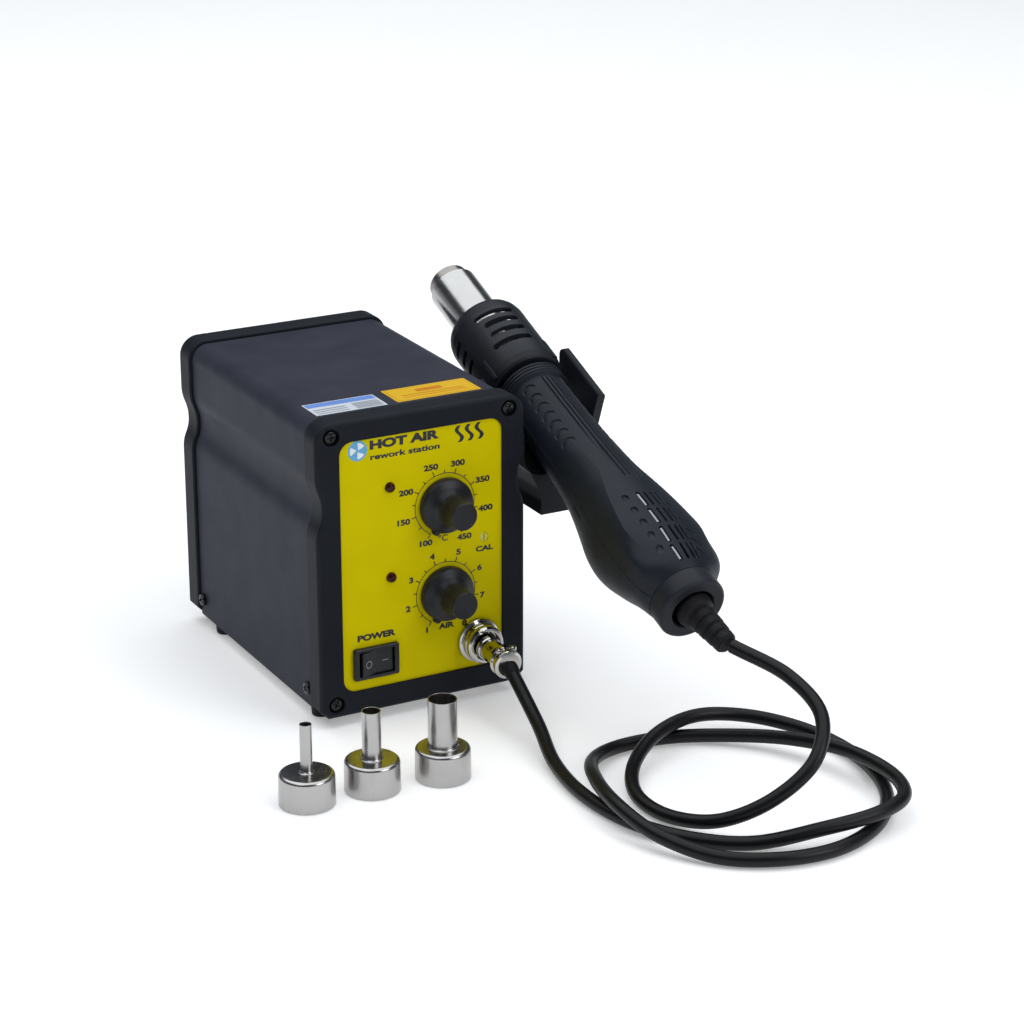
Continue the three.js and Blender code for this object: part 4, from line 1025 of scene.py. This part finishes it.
def guard():
    body = turned([
        (12, 92), (12, 81), (16.2, 81), (16.2, 42), (15.9, 39.6, 0.4), (16.4, 38.9, 0.4), (17.1, 39.2, 0.5),
        (18.0, 41.2, 1), (18.6, 44.5, 1.5), (18.6, 80, 1), (18.0, 83, 0.8), (17.2, 84, 0.5), (13.9, 84),
        (13.9, 92),
    ], "Z", 160, True)
    cutters = []
    for s, short in [(49.5, 0), (55.6, 8), (62.4, 8), (69.6, 0)]:
        for start, end in [(-52, 10), (36, 98), (126, 188)]:
            cutters.append(radial_slot(s, 3.3, start + short, end))
    for s in (50, 56.6, 63.2):
        cutters.append(radial_slot(s, 2.6, -118, -88))
    carved = carve(body, cutters)
    bar = block((-1.1, 1.1), (18.2, 19.2), (70.5, 83), 0.35)
    for own in (-75, 32, 120):
        carved.join(bar, spin(-own, "Z"))
    return carved


make("nose_shield", guard(), GUN, "gun", [GUARD_BLACK], ["nose_guard"], sharp=40)

tube_body = turned([(8.8, 6.1), (9.9, 6.1), (10.5, 6.2, 0.25), (11.5, 6.9, 0.4), (11.5, 100), (10.8, 100),
                    (10.8, 7.5), (8.8, 7.2)], "Z", 128, True)
tip_ring = turned([(8.8, 1.0), (9.2, 0.8, 0.2), (9.6, 1.2, 0.2), (9.6, 5.9, 0.2), (9.2, 6.3),
                   (8.8, 6.3)], "Z", 128, True)
pipe = Part().join(tube_body).join(tip_ring, tint=1)
make("barrel_tube", pipe, GUN, "gun", [BARREL_STEEL, TIP_STEEL], ["barrel"])


def relief_sleeve():
    corners = [(0, 0), (7.2, 0.6, 0.8), (8.3, 3.6, 1.6), (7.5, 7.4, 1.6), (5.3, 8.6, 0.4)]
    for i in range(4):
        z = 9.2 + 4.5 * i
        r = 6.2 - 0.38 * i
        corners += [(r - 1.0, z, 0.2), (r, z + 0.7, 0.4), (r - 0.15, z + 3.6, 0.4), (r - 1.0, z + 4.0, 0.2)]
    return turned(corners + [(4.2, 27.4, 0.3), (3.0, 27.4), (0, 27.4)], "Z", 64)


RELIEF_START = 234.7
RELIEF_LEAN = math.radians(7.1)
at = GUN @ shift(0, 0, RELIEF_START) @ Matrix.Rotation(-RELIEF_LEAN * math.sin(GUN_ROLL), 4, "X")
at = at @ Matrix.Rotation(RELIEF_LEAN * math.cos(GUN_ROLL), 4, "Y")
make("relief_sleeve", relief_sleeve(), at, "gun", [RUBBER], ["strain_relief"])

# ---- cradle


# A prism along the handpiece's axis, before its roll, in case millimetres.
def along_gun(loop, start, end):
    to_unit = UNIT.inverted() @ GUN_LEVEL
    return capped([[to_unit @ Vector((x, y, s)) for x, y in loop] for s in (start, end)])


CRADLE_FRONT = 12.4
CRADLE_REAR = 51


def cradle():
    outline = [(48.7, 160), (48.7, 106, 1), (52.5, 103, 2), (59.6, 96.5, 8), (63.7, 88.3, 12), (65.3, 82, 6),
               (64.6, 75.8, 0.6), (99.4, 75.8, 5), (99.4, 160)]
    loop = soften(outline, True, 8)
    holster = capped([standing(loop, y) for y in (CRADLE_FRONT, CRADLE_REAR)])
    channel = soften([(19.5, 80), (19.5, -15.6, 9), (-19.5, -15.6, 9), (-19.5, 80)], True, 10)
    room = circle(0, 0, 19.4, 96)
    cutters = [along_gun(channel, 40, 160), along_gun(room, 40, 93.2)]
    turns = [math.pi * k / 10 for k in range(11)]
    rim = [(21.45 - 1.95 * math.cos(a), 11.1 + 1.95 * math.sin(a)) for a in turns]
    walls = [(-40, 80), (-40, 3), (-10, 3), (-10, 11.1), *rim, (40, 11.1), (40, 80)]
    cutters.append(along_gun(walls, 20, 160))
    cutters.append(along_gun([(0, -12), (40, -12), (40, 80), (0, 80)], 111, 170))
    side = soften([(CRADLE_FRONT, 60), (CRADLE_FRONT, 125.5, 3.5), (CRADLE_REAR, 140.6, 3.5),
                   (CRADLE_REAR, 60)], True, 8)
    around = [(0, 50), (0, 180), (70, 180), (70, 50)]
    ends = [[[(x, y, z) for y, z in line] for line in (around, side)] for x in (40, 110)]
    frame_cut = joined(*[plate(*end) for end in ends], *[skin(pair) for pair in zip(*ends)])
    return carve(holster, [*cutters, frame_cut])


def rounded_edges(piece, width):
    bevel = piece.modifiers.new("edges", "BEVEL")
    bevel.width = width
    bevel.segments = 3
    bevel.limit_method = "ANGLE"
    bevel.angle_limit = math.radians(38)
    bevel.use_clamp_overlap = True
    piece.modifiers.move(1, 0)


holster = make("holster", cradle(), UNIT, "station", [HOLSTER_BLACK], ["cradle"])
rounded_edges(holster, 0.0014)
flush = turned([(0, 55.8), (2.4, 55.8), (2.9, 55.4, 0.2), (2.9, 54.3), (1.35, 54.3), (1.35, 43),
                (0, 43)], "X", 48)
for i, (y, z) in enumerate([(24, 112), (44, 119)]):
    make(f"holster_screw_{i + 1}", flush, UNIT @ shift(0, y, z), "station", [SCREW_STEEL],
         [f"cradle_screw_{i + 1}"])

# ---- nozzles


def nozzle(outlet):
    inside = outlet - 0.45
    return turned([
        (11.5, 0), (11.9, 0, 0.12), (11.88, 0.8), (11.75, 13.8, 1.7), (outlet + 0.6, 13.9, 0.5),
        (outlet, 14.6, 0.5), (outlet, 35.3, 0.12), (inside, 35.3, 0.12), (inside, 13.4), (10.4, 13.2),
        (11.5, 12.2),
    ], "Z", 128, True, 5)


NOZZLES = [("small", -84.6, -60.5, 2.55), ("medium", -55.3, -61.3, 4.05), ("large", -24, -64.4, 6.2)]
for size, x, y, outlet in NOZZLES:
    make(f"{size}_outlet_nozzle", nozzle(outlet), UNIT @ shift(x, y, 0), f"{size}_nozzle",
         [NICKEL], [f"nozzle_{size}"])

# ---- back fittings


def inlet():
    def flange(inset):
        return rectangle(3 + inset, 33 - inset, 18 + inset, 54 - inset, 2.5 - min(inset, 2), 4)

    body = slab(flange, 148.4, 150.5, 0.6)
    stem = block((5.4, 30.6), (126.5, 149.5), (20.4, 51.6), 0.4)
    mouth = soften([(5.75, 31.75, 1), (30.25, 31.75, 1), (30.25, 44.6, 1), (26.6, 48.25, 1), (9.4, 48.25, 1),
                    (5.75, 44.6, 1)], True, 4)
    hollow = capped([standing(mouth, y) for y in (133.5, 152)])
    pocket = block((10, 26), (132.2, 152), (21.3, 28.3), 0.2)
    whole = Part()
    for part in (body, stem):
        whole.join(carve(part, [hollow, pocket]))
    for dx, dz in [(-7, 1.5), (0, -3), (7, 1.5)]:
        whole.join(block((17 + dx, 19 + dx), (132.5, 144.5), (38 + dz, 42 + dz), 0.3), tint=1)
    return whole


make("mains_socket_shell", inlet(), UNIT, "station", [MOULDED, BRASS], ["mains_inlet"])
drawer = carve(block((10.3, 25.7), (132.5, 151), (21.6, 28), 0.4),
               [block((15, 21), (150.2, 152), (26.4, 28.8), 0.2)])
make("fuse_tray", drawer, UNIT, "drawer", [KNOB_BLACK], ["fuse_drawer"])

# ---- labels on the cover


COVER_TOP = UNIT @ shift(0, 0, 137.58)


# Flat areas on a rectangle, each given by its insets from the left, right, front and back, and a tint.
def label(x0, x1, y0, y1, areas):
    whole = Part()
    for level, (left, right, front, back, tint) in enumerate(areas):
        loop = rectangle(x0 + left, x1 - right, y0 + front, y1 - back, 0.4, 2)
        whole.join(plate([(x, y, 0.03 * level) for x, y in loop]), tint=tint)
    return whole


white_label = label(-41, -7.5, 17, 33, [(0, 0, 0, 0, 0), (0.6, 0.6, 10.6, 0.6, 1), (20, 1.2, 1.2, 7, 2),
                                        (1.2, 17, 1.5, 13.6, 2), (1.2, 17, 4, 11.1, 2),
                                        (1.2, 17, 6.5, 8.6, 2)])
make("white_label", white_label, COVER_TOP, "station", [PAPER, LABEL_BLUE, LABEL_GREY])
orange_label = label(-2.5, 38, 17.5, 35, [(0, 0, 0, 0, 0), (1.1, 1.1, 1.1, 1.1, 1), (1.4, 1.4, 1.4, 1.4, 0),
                                          (5, 5, 4, 12.7, 1), (5, 5, 6.6, 10.1, 1), (14, 14, 9.6, 4.4, 1)])
make("orange_label", orange_label, COVER_TOP, "station", [ORANGE, ORANGE_DARK])

# ---- inside parts kept from the frame

KEPT = {
    "chassis_plate": (SHEET, "sheet_steel"), "main_board": (BOARD, "board_green"),
    "transformer_core": (IRON, "dark_iron"), "transformer_coil": (TAPE, "coil_tape"),
    "temperature_shaft": (SCREW_STEEL, "satin_steel"), "air_shaft": (SCREW_STEEL, "satin_steel"),
    "temperature_potentiometer": (IRON, "dark_iron"), "air_potentiometer": (IRON, "dark_iron"),
    "heater_core": (CERAMIC, "ceramic_white"), "mica_sleeve": (MICA, "mica_sheet"),
    "blower_impeller": (GUARD_BLACK, "handle_plastic"), "blower_motor": (BRASS, "motor_brass"),
}
for node_name, (material, slot_name) in KEPT.items():
    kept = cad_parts[node_name]
    kept.data.materials.clear()
    kept.data.materials.append(material)
    kept.modifiers.new("normals", "WEIGHTED_NORMAL")

# ---- studio


def sheet(name, corners, material):
    mesh = bpy.data.meshes.new(name)
    mesh.from_pydata(corners, [], [(0, 1, 2, 3)])
    mesh.materials.append(material)
    link(bpy.data.objects.new(name, mesh))


FLOOR_WHITE = surface("floor_white", (0.90, 0.90, 0.90), 0.75, grain=40, relief=0.0, uneven=0.01, gloss=0.1,
                      patch=3)
floor = FLOOR_WHITE.node_tree
feed(floor, shader_of(floor, "BSDF_PRINCIPLED"), {"Emission Color": (1, 1, 1, 1), "Emission Strength": 0.28})
sheet("floor", [(-6, -6, -0.0003), (6, -6, -0.0003), (6, 8, -0.0003), (-6, 8, -0.0003)], FLOOR_WHITE)


def lamp(name, place, target, width, height, power, colour):
    light = bpy.data.lights.new(name, "AREA")
    light.shape = "RECTANGLE"
    light.size = width
    light.size_y = height
    light.energy = power
    light.color = colour
    aim(link(bpy.data.objects.new(name, light)), place, target)


lamp("overhead", (0, 0.5, 1.9), (0, 0.5, 0), 3.4, 3.4, 64, (0.94, 0.97, 1))
lamp("front_key", (0.75, -1.35, 0.95), (0, 0, 0.08), 0.9, 0.9, 10, (0.97, 0.98, 1))

world = bpy.data.worlds.new("studio")
bpy.context.scene.world = world
world.use_nodes = True
sky = world.node_tree
place = node(sky, "ShaderNodeTexCoord", {})
split = node(sky, "ShaderNodeSeparateXYZ", {"Vector": place.outputs["Generated"]})
brightness = ranged(sky, split.outputs["Z"], 0.5, 0.06, 0.03, 0.25)
feed(sky, shader_of(sky, "BACKGROUND"), {"Strength": brightness, "Color": (0.84, 0.91, 1, 1)})

bpy.context.scene.view_settings.view_transform = "Standard"
bpy.context.scene.view_settings.look = "None"
